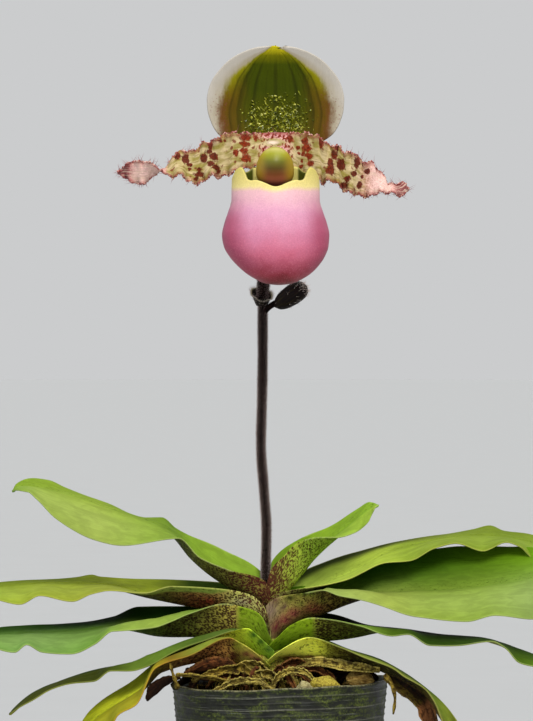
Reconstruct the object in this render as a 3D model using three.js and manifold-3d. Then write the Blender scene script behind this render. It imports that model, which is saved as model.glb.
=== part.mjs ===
// A slipper orchid (Paphiopedilum) in flower, in its plastic nursery pot.
// Millimetres, +Z up. The origin is the centre of the pot's underside, the flower faces -Y,
// and the two ranks of leaves spread to -X and +X.
import * as THREE from 'three';
import { ConvexGeometry } from 'three/addons/geometries/ConvexGeometry.js';
import { mergeVertices } from 'three/addons/utils/BufferGeometryUtils.js';
import Module from 'manifold-3d';

const wasm = await Module();
wasm.setup();
const { Manifold, Mesh: SolidMesh } = wasm;

// ---- driving dimensions --------------------------------------------------------------
const GAP = 0.4; // free space kept between neighbouring pieces
const POT = {
  height: 72, rimRadius: 37.6, baseRadius: 31, wall: 1, floor: 1.8, segments: 40,
  ribHeights: [69.6, 67.4, 65.2, 63, 60.8, 58.6], ribPitch: 2.2, ribDepth: 0.5,
  holeCount: 6, holeRadius: 3, holeCircle: 20,
  rimSway: 1.1, // the soft rim stands this much higher on the right than on the left
};
const MIX = { top: 67.5, mound: 4, bump: 1.1 };
const STEM = { x: -3.5, y: -1, bottom: 69.5, top: 79, radius: 8 };
const LEAF_THICKNESS = 1.1;
const TIP_HALF = 1.2; // half width of every leaf's blunt tip
const SCAPE = { radius: 1.75, bottom: 99 };
const FLOWER = { x: -1.4, y: -3, z: 253.5, receptacle: 3.1 };
const SEPAL_THICKNESS = 1;
const PETAL_THICKNESS = 0.9;
const POUCH = { wall: 0.9, segments: 30, rows: 11 };

// Colours and finishes of the materials, by name.
const MATERIALS = {
  pot_plastic: [0x2d3230, 0.6], potting_bark: [0x5c4a2c, 0.95], bark_yellow: [0x8f8030, 0.9],
  sheath_green: [0x7a8f3a, 0.55], leaf_green: [0x7fb13a, 0.42], leaf_aged: [0xa3a23a, 0.5],
  dry_leaf: [0x8a7440, 0.85], dry_dark: [0x3d2a1c, 0.9], scape_brown: [0x35191a, 0.75],
  bract_brown: [0x2a1718, 0.8], sepal_green: [0x8a9a3a, 0.5], petal_cream: [0xd9cf9a, 0.5],
  pouch_pink: [0xd98bb4, 0.45], column_green: [0x9aa843, 0.35],
};

// ---- curves --------------------------------------------------------------------------

// A smooth curve through [x, value] points that never overshoots them.
function curve(points) {
  const p = [...points].sort((a, b) => a[0] - b[0]);
  const last = p.length - 1;
  const slope = p.slice(1).map((q, i) => (q[1] - p[i][1]) / (q[0] - p[i][0]));
  const tangent = p.map((q, i) => {
    if (i === 0) return slope[0];
    if (i === last) return slope[last - 1];
    const [a, b] = [slope[i - 1], slope[i]];
    if (a * b <= 0) return 0;
    const [h0, h1] = [q[0] - p[i - 1][0], p[i + 1][0] - q[0]];
    const [w0, w1] = [2 * h1 + h0, h1 + 2 * h0];
    return (w0 + w1) / (w0 / a + w1 / b);
  });
  return (x) => {
    const t = Math.min(Math.max(x, p[0][0]), p[last][0]);
    let i = 0;
    while (i < last - 1 && t > p[i + 1][0]) i += 1;
    const h = p[i + 1][0] - p[i][0];
    const u = (t - p[i][0]) / h;
    return (2 * u ** 3 - 3 * u ** 2 + 1) * p[i][1] + (u ** 3 - 2 * u ** 2 + u) * h * tangent[i]
      + (3 * u ** 2 - 2 * u ** 3) * p[i + 1][1] + (u ** 3 - u ** 2) * h * tangent[i + 1];
  };
}

const mix = (a, b, t) => a + (b - a) * t;
const spaced = (count, from = 0, to = 1) => (
  Array.from({ length: count + 1 }, (_, i) => mix(from, to, i / count)));
const radians = (degrees) => (degrees * Math.PI) / 180;

// Repeatable random numbers from 0 to 1.
function seeded(seed) {
  let state = seed;
  return () => {
    state = (state * 1664525 + 1013904223) % 4294967296;
    return state / 4294967296;
  };
}

// ---- solids --------------------------------------------------------------------------

// The solid inside a closed three.js geometry.
function solid(geometry) {
  geometry.deleteAttribute('normal');
  geometry.deleteAttribute('uv');
  const merged = mergeVertices(geometry, 1e-4);
  return new Manifold(new SolidMesh({
    numProp: 3,
    vertProperties: new Float32Array(merged.attributes.position.array),
    triVerts: new Uint32Array(merged.index.array),
  }));
}

// The solid with these corners and triangles, which are turned to face out.
function solidFrom(points, triangles) {
  const corners = points.map((p) => new THREE.Vector3(...p));
  const volume = triangles.reduce((sum, [i, j, k]) => (
    sum + corners[i].dot(new THREE.Vector3().crossVectors(corners[j], corners[k]))), 0);
  const turned = volume < 0 ? triangles.map(([i, j, k]) => [i, k, j]) : triangles;
  return solid(new THREE.BufferGeometry().setFromPoints(corners).setIndex(turned.flat()));
}

// A closed thin plate around a grid of points, `thickness` across, alike on both faces.
function plate(grid, thickness) {
  const [rows, cols] = [grid.length, grid[0].length];
  const at = (i, j) => new THREE.Vector3(...grid[Math.min(Math.max(i, 0), rows - 1)][
    Math.min(Math.max(j, 0), cols - 1)]);
  const points = [];
  [0.5, -0.5].forEach((side) => {
    for (let i = 0; i < rows; i += 1) {
      for (let j = 0; j < cols; j += 1) {
        const along = at(i + 1, j).sub(at(i - 1, j));
        const across = at(i, j + 1).sub(at(i, j - 1));
        const normal = along.cross(across).normalize();
        points.push(at(i, j).addScaledVector(normal, side * thickness).toArray());
      }
    }
  });
  const index = (i, j, face) => face * rows * cols + i * cols + j;
  const triangles = [];
  for (let i = 0; i < rows - 1; i += 1) {
    for (let j = 0; j < cols - 1; j += 1) {
      [0, 1].forEach((face) => {
        const quad = [index(i, j, face), index(i + 1, j, face),
          index(i + 1, j + 1, face), index(i, j + 1, face)];
        if (face) quad.reverse();
        const [p, q, r, s] = quad;
        triangles.push(...(face ? [[p, q, s], [q, r, s]] : [[p, q, r], [p, r, s]]));
      });
    }
  }
  const rim = [];
  for (let j = 0; j < cols - 1; j += 1) rim.push([0, j]);
  for (let i = 0; i < rows - 1; i += 1) rim.push([i, cols - 1]);
  for (let j = cols - 1; j > 0; j -= 1) rim.push([rows - 1, j]);
  for (let i = rows - 1; i > 0; i -= 1) rim.push([i, 0]);
  rim.forEach(([i, j], n) => {
    const [k, l] = rim[(n + 1) % rim.length];
    const [p, q, r, s] = [index(i, j, 0), index(k, l, 0), index(k, l, 1), index(i, j, 1)];
    triangles.push([p, q, r], [p, r, s]);
  });
  return solidFrom(points, triangles);
}

// The same grid with its four edges pushed out.
function widened(grid, by) {
  const out = grid.map((row) => row.map((p) => new THREE.Vector3(...p)));
  const push = (edge, inner) => {
    const step = edge.clone().sub(inner);
    edge.addScaledVector(step, by / Math.max(step.length(), 1e-6));
  };
  out.forEach((row) => { push(row[0], row[1]); push(row.at(-1), row.at(-2)); });
  out[0].forEach((p, j) => push(p, out[1][j]));
  out.at(-1).forEach((p, j) => push(p, out.at(-2)[j]));
  return out.map((row) => row.map((p) => p.toArray()));
}

// A plate and the wider, thicker space that its neighbours must leave free.
const plated = (grid, thickness) => ({
  body: plate(grid, thickness),
  space: plate(widened(grid, GAP), thickness + 2 * GAP),
});

// A solid from a stack of closed rings of points, closed at both ends.
function stack(rings) {
  const n = rings[0].length;
  const points = rings.flat();
  const triangles = [];
  for (let i = 0; i < rings.length - 1; i += 1) {
    for (let j = 0; j < n; j += 1) {
      const k = (j + 1) % n;
      triangles.push([i * n + j, i * n + k, (i + 1) * n + k],
        [i * n + j, (i + 1) * n + k, (i + 1) * n + j]);
    }
  }
  const centre = (ring) => [0, 1, 2].map((axis) => ring.reduce((s, p) => s + p[axis], 0) / n);
  const [first, last] = [points.length, points.length + 1];
  points.push(centre(rings[0]), centre(rings.at(-1)));
  const top = (rings.length - 1) * n;
  for (let j = 0; j < n; j += 1) {
    const k = (j + 1) % n;
    triangles.push([first, k, j], [last, top + j, top + k]);
  }
  return solidFrom(points, triangles);
}

// A round bar of changing radius along a path of [x, y, z] points.
function bar(path, radiusAt, sides = 10, steps = 16) {
  const spine = new THREE.CatmullRomCurve3(path.map((p) => new THREE.Vector3(...p)));
  return stack(spaced(steps).map((t) => {
    const centre = spine.getPointAt(t);
    const along = spine.getTangentAt(t);
    const side = new THREE.Vector3(0, 1, 0).cross(along);
    if (side.length() < 0.3) side.set(1, 0, 0).cross(along);
    side.normalize();
    const other = along.clone().cross(side).normalize();
    return spaced(sides).slice(0, -1).map((s) => centre.clone()
      .addScaledVector(side, radiusAt(t) * Math.cos(2 * Math.PI * s))
      .addScaledVector(other, radiusAt(t) * Math.sin(2 * Math.PI * s)).toArray());
  }));
}

// The smallest convex solid round small balls of radius `r` at the given points.
function hull(centres, r) {
  return solid(new ConvexGeometry(centres.flatMap(([x, y, z]) => (
    [[r, 0, 0], [-r, 0, 0], [0, r, 0], [0, -r, 0], [0, 0, r], [0, 0, -r]]
      .map(([dx, dy, dz]) => new THREE.Vector3(x + dx, y + dy, z + dz))))));
}

// A ball stretched to three radii and turned about the Y axis.
const ball = (x, y, z, radii, turn = 0, sides = 14) => solid(
  new THREE.SphereGeometry(1, sides, Math.round(sides / 2)).scale(...radii)
    .rotateY(radians(turn)).translate(x, y, z));

// An upright round bar.
const post = (x, y, bottom, top, radius, sides) => solid(
  new THREE.CylinderGeometry(radius, radius, top - bottom, sides)
    .rotateX(Math.PI / 2).translate(x, y, (bottom + top) / 2));
const joined = (solids) => solids.reduce((sum, s) => sum.add(s));

// What is left of a solid once its neighbours' spaces are cut away, as one piece.
function clearOf(body, spaces) {
  const cut = spaces.reduce((left, space) => left.subtract(space), body);
  return cut.decompose().sort((a, b) => b.volume() - a.volume())[0];
}

// ---- pot and what fills it -----------------------------------------------------------

// Outer radius of the pot at a height, without its ribs.
const potRadius = (z) => mix(POT.baseRadius, POT.rimRadius, z / POT.height);

// The soft plastic sways a little, more and more towards the rim.
function softened(geometry) {
  const position = geometry.attributes.position;
  for (let i = 0; i < position.count; i += 1) {
    const [x, y, z] = [position.getX(i), position.getY(i), position.getZ(i)];
    const soft = Math.max(0, z / POT.height - 0.6) / 0.4;
    const [a, r] = [Math.atan2(y, x), Math.hypot(x, y)];
    const out = r + soft * (0.25 * Math.sin(3 * a + 1) + 0.2 * Math.sin(5 * a));
    const lift = soft * soft * (POT.rimSway * Math.cos(a) + 0.25 * Math.sin(4 * a + 0.6));
    position.setXYZ(i, out * Math.cos(a), out * Math.sin(a), z + lift);
  }
  return geometry;
}

// The pot is turned from its wall's outline: from the floor's middle, up the outside over the
// ribs, over the rim, down the inside and back along the floor.
function pot() {
  const outside = [[0, 0]];
  [...POT.ribHeights].reverse().forEach((z) => {
    outside.push([z - POT.ribPitch / 2, 0], [z, POT.ribDepth]);
  });
  outside.push([POT.height - 1.1, 0], [POT.height - 0.6, 0.45], [POT.height, 0.3]);
  const inside = [POT.height, POT.height - 8, POT.floor].map((z) => [z, -POT.wall]);
  const outline = [[0, 0], ...[...outside, ...inside].map(([z, out]) => [potRadius(z) + out, z]),
    [0, POT.floor]];
  const wall = new THREE.LatheGeometry(
    outline.map(([r, z]) => new THREE.Vector2(r, z)), POT.segments).rotateX(Math.PI / 2);
  const holes = spaced(POT.holeCount).slice(0, -1).map((s) => post(
    POT.holeCircle * Math.cos(2 * Math.PI * s), POT.holeCircle * Math.sin(2 * Math.PI * s),
    -POT.floor, 2 * POT.floor, POT.holeRadius, 12));
  return solid(softened(wall)).subtract(joined(holes));
}

// One angular lump of bark.
function chunk(x, y, z, size, random) {
  const corners = Array.from({ length: 11 }, () => {
    const v = new THREE.Vector3(random() - 0.5, random() - 0.5, random() - 0.5).normalize();
    return new THREE.Vector3(x + v.x * size[0], y + v.y * size[1], z + v.z * size[2]);
  });
  return solid(new ConvexGeometry(corners));
}

// Height of the mix, mounded under the plant and bumpy all over.
function mixTop(x, y) {
  const near = Math.exp(-((x - STEM.x) ** 2 + (y - STEM.y) ** 2) / 260);
  return MIX.top + MIX.mound * near
    + MIX.bump * (Math.sin(x * 0.55 + y * 0.3) * Math.cos(y * 0.47 - x * 0.2));
}

// The filling: a solid plug of bark whose largest lumps lie about on top.
function pottingMix() {
  const around = spaced(32).slice(0, -1).map((s) => 2 * Math.PI * s);
  const inside = (z) => potRadius(z) - POT.wall - 1;
  const ring = (r, height) => around.map((a) => {
    const [x, y] = [r * Math.cos(a), r * Math.sin(a)];
    return [x, y, height ?? mixTop(x, y)];
  });
  const rings = [ring(inside(POT.floor) - 0.4, POT.floor + GAP), ring(inside(MIX.top - 2), null)];
  [0.86, 0.68, 0.48, 0.25].forEach((part) => rings.push(ring(inside(MIX.top) * part, null)));
  const random = seeded(7);
  const lumps = spaced(16).slice(0, -1).map((s) => {
    const a = 2 * Math.PI * s + random();
    const r = 17 + 12 * random();
    const [x, y] = [r * Math.cos(a), r * Math.sin(a)];
    return chunk(x, y, mixTop(x, y) + 0.5, [3 + 3 * random(), 3 + 2 * random(), 2.6], random);
  });
  lumps.push(chunk(16, -28.5, 71.8, [5.2, 4, 3.8], random)); // the yellow lump in front
  lumps.push(chunk(27.5, -18, 72, [5.2, 4, 3.6], random));
  return joined([stack(rings), ...lumps]);
}

// ---- leaves --------------------------------------------------------------------------
// Each leaf is folded like a keel where it leaves the stem, then opens and arches over.
// `midrib`, `near` and `far` give heights [x, z] of the midrib and of the margins on the
// flower's side and behind; `depth` is the midrib's y and `width` that of each half blade.
const LEAVES = {
  leaf_l1: {
    midrib: [[-5.4, 98.6], [-13.8, 103.2], [-22.2, 108.3], [-31, 115.8], [-37.2, 122.5],
      [-41.8, 124.8], [-65.8, 134.6], [-82.5, 139.4], [-91.2, 140.3], [-92.9, 139.1]],
    near: [[-5.4, 107.4], [-17.7, 111.4], [-27.8, 115.8], [-35.1, 122.5], [-54.3, 120.1],
      [-64.1, 121.9], [-77.6, 129.4], [-84.2, 136.1], [-87.4, 138.7], [-92.9, 139.1]],
    far: [[-5.4, 108.9], [-20.1, 117.8], [-36.5, 124.9], [-41.4, 129.1], [-47.5, 129.2],
      [-60.9, 134.5], [-75.5, 140.1], [-81.4, 143], [-86.1, 143.5], [-92.2, 141.1], [-92.9, 139.1]],
    depth: [[-5.4, 0], [-27.8, -1], [-59.2, -4], [-92.9, -6]],
    width: [[-5.4, 11], [-17, 12.5], [-31, 11.5], [-59, 14.5], [-73, 13], [-84, 9], [-89.4, 5.5],
      [-92.9, 0.4]],
    from: -14,
  },
  leaf_r1: {
    midrib: [[-4.7, 96.1], [5.8, 107.5], [12.1, 115.4], [26, 127.8], [31.9, 132.9], [34.3, 134.1]],
    near: [[-4.7, 105.6], [-3, 111], [1.2, 115.4], [6.3, 120.3], [14.2, 122.6], [19.6, 122.6],
      [25.3, 123.9], [30.9, 127.8], [33.3, 132.9], [34.3, 134.1]],
    far: [[-4.7, 107.3], [-2.3, 114.2], [6.1, 120.8], [19, 126.5], [27.9, 132.4], [31.6, 134.5],
      [34.3, 134.1]],
    depth: [[-4.7, 1], [7.2, 0], [34.3, -5]],
    width: [[-4.7, 11], [3.7, 11.5], [14.2, 10], [22.9, 7.5], [28.9, 5], [32, 2.6], [34.3, 0.4]],
    from: 3,
  },
  leaf_l2: {
    midrib: [[-8.9, 90.6], [-48, 102.2], [-63.5, 105.5], [-80.2, 105.7], [-104.5, 103.4],
      [-119.1, 98.3]],
    near: [[-8.9, 101.8], [-21.5, 104], [-37.6, 104.9], [-46.8, 102.8], [-58.6, 104.3],
      [-65.6, 102.9], [-72, 100.4], [-83.3, 102.5], [-90.6, 99.2], [-101.7, 101.3],
      [-111.4, 98.2], [-119.1, 98.3]],
    far: [[-8.9, 103.9], [-22.2, 106.1], [-63.5, 107.5], [-66.3, 108.2], [-71.5, 107.4],
      [-104.5, 104.8], [-113.2, 102.1], [-119.1, 98.3]],
    depth: [[-8.9, 0], [-45.4, 2], [-76.7, 4], [-119.1, 8]],
    width: [[-8.9, 12.5], [-40, 12.5], [-63, 14], [-84, 14], [-98, 13], [-108, 9.5], [-115, 5],
      [-119.1, 0.4]],
    from: -20,
  },
  leaf_r2: {
    midrib: [[-1.2, 93.3], [10.7, 102.6], [27.2, 110.5], [36.9, 115.8], [56.3, 121.2],
      [68.8, 122.5], [88.6, 120], [101.4, 114.2], [105.6, 110.7]],
    near: [[-1.2, 102.8], [10.9, 105.3], [22.3, 107.5], [36.9, 113.7], [45.5, 114.5],
      [54.2, 119], [61.2, 120.6], [70.8, 117.8], [78.9, 120.9], [83.8, 119.3], [88.6, 115],
      [96.6, 113.8], [105.6, 110.7]],
    far: [[-1.2, 103.8], [9.7, 110.4], [27.2, 116.4], [42.3, 120], [62.6, 123.1], [68.8, 124.2],
      [74.7, 125.6], [79.6, 123.7], [88.6, 122.5], [95.2, 120.4], [105.6, 110.7]],
    depth: [[-1.2, 1], [17.7, 4], [49.3, 5], [105.6, 7]],
    width: [[-1.2, 13], [32, 12.5], [53, 14], [77, 14], [91, 12], [99, 8], [103, 3.9],
      [105.6, 0.4]],
    from: 9,
  },
  leaf_l3: {
    midrib: [[-11.7, 86.7], [-23.6, 88.1], [-42.1, 88.7], [-54.9, 91.1], [-72.5, 89.9],
      [-103.6, 88.6], [-115.6, 84.2]],
    near: [[-11.7, 97.9], [-19.1, 99.4], [-30.9, 95.6], [-43.1, 89.9], [-57.7, 90.8],
      [-63.6, 86.5], [-72.2, 82.9], [-81.8, 83.9], [-87, 86.6], [-91, 84], [-100.9, 85.8],
      [-110.5, 83.1], [-115.6, 84.2]],
    far: [[-11.7, 97.6], [-49.4, 97.7], [-58.4, 94.1], [-72.5, 91.9], [-96.8, 91], [-115.6, 84.2]],
    depth: [[-11.7, 0], [-32.7, -2], [-55.6, -6], [-86.6, -14], [-115.6, -20]],
    width: [[-11.7, 13.5], [-42, 12], [-77, 14.5], [-91, 14], [-103, 11], [-111, 6.2],
      [-115.6, 0.4]],
    from: -23,
  },
  leaf_r3: {
    midrib: [[0.2, 89.2], [17.3, 96.4], [29.9, 101.4], [42, 103.2], [58.6, 104.4], [78.9, 106.9],
      [97, 110.3], [110.6, 110.8]],
    near: [[0.2, 101.8], [8.9, 103.3], [15.2, 104.2], [20.5, 102.6], [30.9, 100.6], [46.9, 95.8],
      [64.4, 94.4], [74.1, 96.6], [87.8, 95.3], [102.1, 101], [107.2, 105.6], [110.6, 110.8]],
    far: [[0.2, 103.9], [15.2, 105.3], [36.8, 114.5], [45.5, 116.7], [66.2, 119], [87.8, 118.9],
      [105.5, 113.9], [110.6, 110.8]],
    depth: [[0.2, 0], [15.2, 0], [35.1, -3], [62.7, -10], [110.6, -20]],
    width: [[0.2, 14], [15, 12.5], [28, 13], [46, 16.5], [63, 18.5], [84, 17.5], [98, 13],
      [107, 7], [110.6, 0.4]],
    from: 17,
  },
  leaf_l4: {
    midrib: [[-10.3, 81.3], [-23.5, 83.3], [-45.6, 79], [-58, 78], [-64.8, 76.7], [-84.7, 69.6],
      [-92.4, 63.5]],
    near: [[-10.3, 90.7], [-23.5, 87.5], [-35.7, 83.7], [-49.8, 76.6], [-58, 77.6],
      [-65.4, 73.3], [-72.5, 73.5], [-83, 68.3], [-92.4, 63.5]],
    far: [[-10.3, 93.5], [-16.2, 90], [-34.3, 86.3], [-52.5, 80], [-64.8, 78.8], [-73.5, 76.1],
      [-87.2, 70.2], [-92.4, 63.5]],
    depth: [[-10.3, -2], [-27.7, -8], [-51.8, -16], [-75.6, -26], [-92.4, -32]],
    width: [[-10.3, 13.5], [-23.6, 11.5], [-59, 13], [-73, 12], [-84, 8], [-90.1, 4], [-92.4, 0.4]],
    from: -20,
  },
  leaf_r4: {
    midrib: [[-0.5, 83], [8.9, 85.9], [27, 88.6], [37.7, 90.7], [58.2, 88.9], [68.4, 88.5],
      [81.6, 84.8], [93.4, 80.1], [105.4, 72.2]],
    near: [[-0.5, 87.9], [3.7, 92], [11.7, 94.9], [28, 92.4], [38.4, 89.2], [44.2, 90],
      [51.7, 86.3], [61.6, 86.7], [72.5, 88.2], [77.2, 85.9], [81.6, 81.2], [91, 79],
      [101.1, 72.7], [105.4, 72.2]],
    far: [[-0.5, 92.8], [7.2, 96], [16.6, 95.8], [32.2, 93], [58.2, 89.8], [73.1, 88.7],
      [100.1, 78.2], [105.4, 72.2]],
    depth: [[-0.5, -2], [17.6, -5], [41.8, -12], [69.1, -22], [105.4, -34]],
    width: [[-0.5, 13], [28, 12], [49, 13.5], [74, 13], [89, 11.5], [99, 8], [105.4, 0.4]],
    from: 14,
  },
  leaf_l5: {
    midrib: [[-10.3, 78.3], [-23.5, 80.3], [-40.7, 77.2], [-47.2, 71], [-61.7, 62.1],
      [-69.8, 53.8], [-72.5, 49.2]],
    near: [[-10.3, 86.6], [-17.3, 87.9], [-30.7, 82.7], [-42.7, 78.5], [-49.2, 66.4],
      [-55.3, 63.1], [-59, 56.1], [-66.8, 50.6], [-72.5, 49.2]],
    far: [[-10.3, 89.4], [-17.3, 88.9], [-30.7, 83.8], [-41.4, 80], [-50.6, 73], [-65.4, 63.3],
      [-70.5, 54.9], [-72.5, 49.2]],
    depth: [[-10.3, -4], [-27.6, -12], [-44.8, -20], [-61.7, -28], [-72.5, -33]],
    width: [[-10.3, 13.5], [-23, 11], [-41.5, 11], [-56, 12.5], [-64.6, 10], [-69.8, 6], [-72.5, 0.4]],
    from: -18, aged: true,
  },
  leaf_r5: {
    midrib: [[-1.2, 79.6], [1.9, 80.4], [25.1, 79.6], [43.3, 73.9], [51.1, 67.6], [57.1, 59.3],
      [66.6, 43.2]],
    near: [[-1.2, 82.4], [10.3, 88.2], [25.1, 82.2], [35.4, 78.3], [46, 73.1], [52.1, 68.2],
      [56, 59.9], [64.2, 45.1], [66.6, 43.2]],
    far: [[-1.2, 83.8], [5.4, 88.1], [10.3, 88.9], [25.1, 84.2], [40.9, 78.1], [50.7, 71.6],
      [60.9, 60.8], [65.6, 48.6], [66.6, 43.2]],
    depth: [[-1.2, -3], [17.5, -10], [41.6, -20], [55.1, -26], [66.6, -31]],
    width: [[-1.2, 13.5], [11, 11], [42, 11.5], [54, 10.5], [61.4, 7], [65, 3.4], [66.6, 0.4]],
    from: 12, aged: true,
  },
};

// The blade's cross-section at x: a point for each u from -1 (far margin) to 1 (near margin).
function leafShape(leaf) {
  const [midrib, near, far, depth, width] = ['midrib', 'near', 'far', 'depth', 'width']
    .map((name) => curve(leaf[name]));
  return (x, u) => {
    const rise = (u > 0 ? near(x) : far(x)) - midrib(x);
    const half = Math.max(width(x), Math.abs(rise) * 1.03, TIP_HALF);
    const spread = Math.sqrt(half ** 2 - rise ** 2);
    return [x, depth(x) - spread * u, midrib(x) + rise * Math.abs(u) ** 1.25];
  };
}

function leaf(name, steps = 18) {
  const shape = leafShape(LEAVES[name]);
  const tip = LEAVES[name].midrib.at(-1)[0];
  const us = [-1, -0.66, -0.33, 0, 0.33, 0.66, 1];
  const grid = spaced(steps).map((t) => {
    const x = mix(LEAVES[name].from, tip, 1 - (1 - t) ** 1.1);
    return us.map((u) => shape(x, u));
  });
  return plated(grid, LEAF_THICKNESS);
}

// The stem: overlapping leaf bases, fanned out flat, each filled up to where its leaf leaves.
function crown(r) {
  const foot = spaced(8).slice(0, -1).map((s) => 2 * Math.PI * s);
  const ringAt = (z, size) => foot.map((a) => (
    [STEM.x + size * Math.cos(a), STEM.y + 0.85 * size * Math.sin(a), z]));
  const stump = hull([...ringAt(STEM.bottom + 1, STEM.radius), ...ringAt(STEM.top, 9)], r);
  const bases = Object.values(LEAVES).map((leafData) => {
    const shape = leafShape(leafData);
    const end = leafData.from + (leafData.from < STEM.x ? 0.9 : -0.9);
    const inner = mix(leafData.from, STEM.x, 0.55);
    const fold = [-1, -0.5, 0, 0.5, 1];
    return hull([...ringAt(STEM.top - 2, 5), ...fold.map((u) => shape(end, u)),
      ...fold.map((u) => shape(inner, u))], r);
  });
  return joined([stump, ...bases]);
}

// ---- dried leaves and straws over the pot's edge --------------------------------------
// A curled dry strip: path points, half width, and how it rolls (degrees) along its length.
const DRY = {
  dry_right: { path: [[6, -11, 78.8], [16, -15, 77.6], [27, -18.5, 76.4], [34.5, -21, 76.6]],
    width: [2.2, 3.6, 3.2, 1.2], roll: [60, 35, 20, 70], slot: 'dry_leaf' },
  dry_hanging: { path: [[36, -24, 73.8], [41, -26, 70], [47.5, -28, 63], [52, -29, 55.5]],
    width: [1.2, 4, 4.6, 1.4], roll: [20, 30, 50, 40], slot: 'dry_leaf' },
  dry_left: { path: [[-14, -12, 75.5], [-20, -14, 78.3], [-27, -16, 77.3], [-33, -18, 75.6]],
    width: [1.6, 3.2, 3.4, 1.2], roll: [30, 60, 45, 20], slot: 'dry_leaf' },
  dry_strap: { path: [[-16.5, -22, 68.4], [-19, -22.5, 73.2], [-27, -24, 74.9], [-35.5, -26, 76]],
    width: [1, 1.5, 1.6, 1.1], roll: [20, 15, 10, 20], slot: 'dry_leaf' },
  dry_dark: { path: [[-34.5, -21.5, 74.3], [-39, -23.5, 72.6], [-43.5, -25, 68.6],
    [-46.5, -26, 64]], width: [1.2, 3.2, 3.6, 1], roll: [20, 45, 60, 40], slot: 'dry_dark' },
};

function dryStrip({ path, width, roll }) {
  const spine = new THREE.CatmullRomCurve3(path.map((p) => new THREE.Vector3(...p)));
  const at = (list) => curve(list.map((value, i) => [i / (list.length - 1), value]));
  const [half, turn] = [at(width), at(roll)];
  const grid = spaced(9).map((t) => {
    const along = spine.getTangentAt(t);
    const side = new THREE.Vector3(0, 0, 1).cross(along).normalize();
    const up = along.clone().cross(side);
    return [-1, -0.4, 0.4, 1].map((u) => {
      const a = radians(turn(t)) + 0.5 * u;
      return spine.getPointAt(t).addScaledVector(side, half(t) * u * Math.cos(a))
        .addScaledVector(up, half(t) * u * Math.sin(a)).toArray();
    });
  });
  return plated(grid, 0.8);
}

const STRAWS = {
  straw_left: [[-36.9, -24, 71.5], [-37.6, -26, 73.4], [-38.9, -27.5, 76.6], [-39.4, -28.4, 79.6]],
  straw_right: [[36.2, -25.4, 76.2], [38.4, -27, 73], [39.6, -27.6, 68], [39, -27.4, 62.6]],
};

// ---- flower stalk ---------------------------------------------------------------------

const SCAPE_PATH = [[-4.7, 0, SCAPE.bottom], [-4.8, 0.3, 110], [-4.6, 1, 125], [-5.4, 2, 138],
  [-6.5, 3, 155], [-6.1, 4, 172], [-5.9, 5, 188], [-5.9, 6, 205]];
const OVARY_PATH = [[-5.9, 6.1, 206], [-5.6, 7.2, 212], [-4.6, 8.6, 222], [-3.4, 8.6, 232],
  [-2.2, 6.6, 243], [-1.6, 3, 251], [FLOWER.x, FLOWER.y, FLOWER.z]];

// The stalk, with the short fork that carries the second bud.
const scape = (extra) => joined([
  bar(SCAPE_PATH, () => SCAPE.radius + extra, 10, 20),
  bar([[-5.8, 5.6, 201.8], [-3.6, 4.6, 203.2], [-2.4, 4, 204]], () => 1 + extra, 8, 3)]);

// The long ovary behind the pouch, ending in the knob that the flower grows from.
const ovary = (extra) => joined([
  bar(OVARY_PATH, (t) => 1.45 + 0.95 * Math.sin(Math.PI * Math.min(t * 0.75 + 0.12, 1)) + extra,
    10, 14),
  ball(FLOWER.x, FLOWER.y, FLOWER.z, [1, 1, 1].map(() => FLOWER.receptacle + extra))]);

// A dark bract clasping the foot of the ovary like a little cup.
function bractCup() {
  const ring = (r, z, wave = 0) => spaced(14).slice(0, -1).map((s) => {
    const a = 2 * Math.PI * s;
    const tip = wave * (0.5 + 0.5 * Math.cos(a - radians(200))) ** 2;
    return [-5.9 + (r * 1.15 + tip * 0.9) * Math.cos(a), 6 + r * Math.sin(a), z + tip];
  });
  const outside = stack([ring(2.9, 203.6), ring(3.4, 206), ring(4, 208.6), ring(4.2, 210, 1.2)]);
  return outside.subtract(stack([ring(2.35, 202), ring(2.6, 206), ring(3.2, 208.6), ring(3.5, 214)]));
}

// A young bud, wrapped in its own folded bract, leaning out to the right.
const bud = () => joined([
  ball(3.6, 1.8, 207.4, [6.2, 3.3, 3.5], -38),
  bar([[-0.8, 3.6, 204.2], [3.6, 1.8, 207.4], [8.6, -0.4, 211.2]],
    (t) => mix(2, 0.7, t), 8, 5)]);

// ---- flower ---------------------------------------------------------------------------

// A broad sepal: half widths [height, half width] up from its foot, leaning and cupped.
function sepalGrid(foot, profile, direction, { lean, cup, tip, steps }) {
  const half = curve(profile);
  const length = profile.at(-1)[0];
  return spaced(steps).map((t) => {
    const h = length * (1 - (1 - t) ** 1.5);
    return spaced(8, -1, 1).map((u) => {
      const a = u * Math.PI * 0.5;
      const w = half(h) * Math.sin(a);
      const forward = lean(h / length) + cup * (w / 23) ** 2 + tip * (h / length) ** 3;
      return [foot[0] + w, foot[1] - forward, foot[2] + direction * h];
    });
  });
}

const DORSAL = [[0, 2.5], [2.5, 9], [5, 15.5], [8.6, 19.6], [13.5, 23.1], [20, 23.4], [26.5, 20.8],
  [33, 15.6], [37.2, 9.4], [38.4, 5.4], [38.8, 3.4]];
const SYNSEPAL = [[0, 3], [6, 11], [13, 15.6], [20, 14.2], [27, 8.6], [31, 1]];

const dorsalSepal = () => plated(sepalGrid([-1.4, -2.6, 254.9], DORSAL, 1,
  { lean: (t) => 0.5 - 2.6 * Math.sin(Math.PI * t * 0.9), cup: 3, tip: 4.5, steps: 11 }), SEPAL_THICKNESS);
const synsepal = () => plated(sepalGrid([-1.4, -2.4, 251], SYNSEPAL, -1,
  { lean: (t) => 0.5 + 1.5 * t, cup: 1.8, tip: 1, steps: 8 }), SEPAL_THICKNESS);

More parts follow.
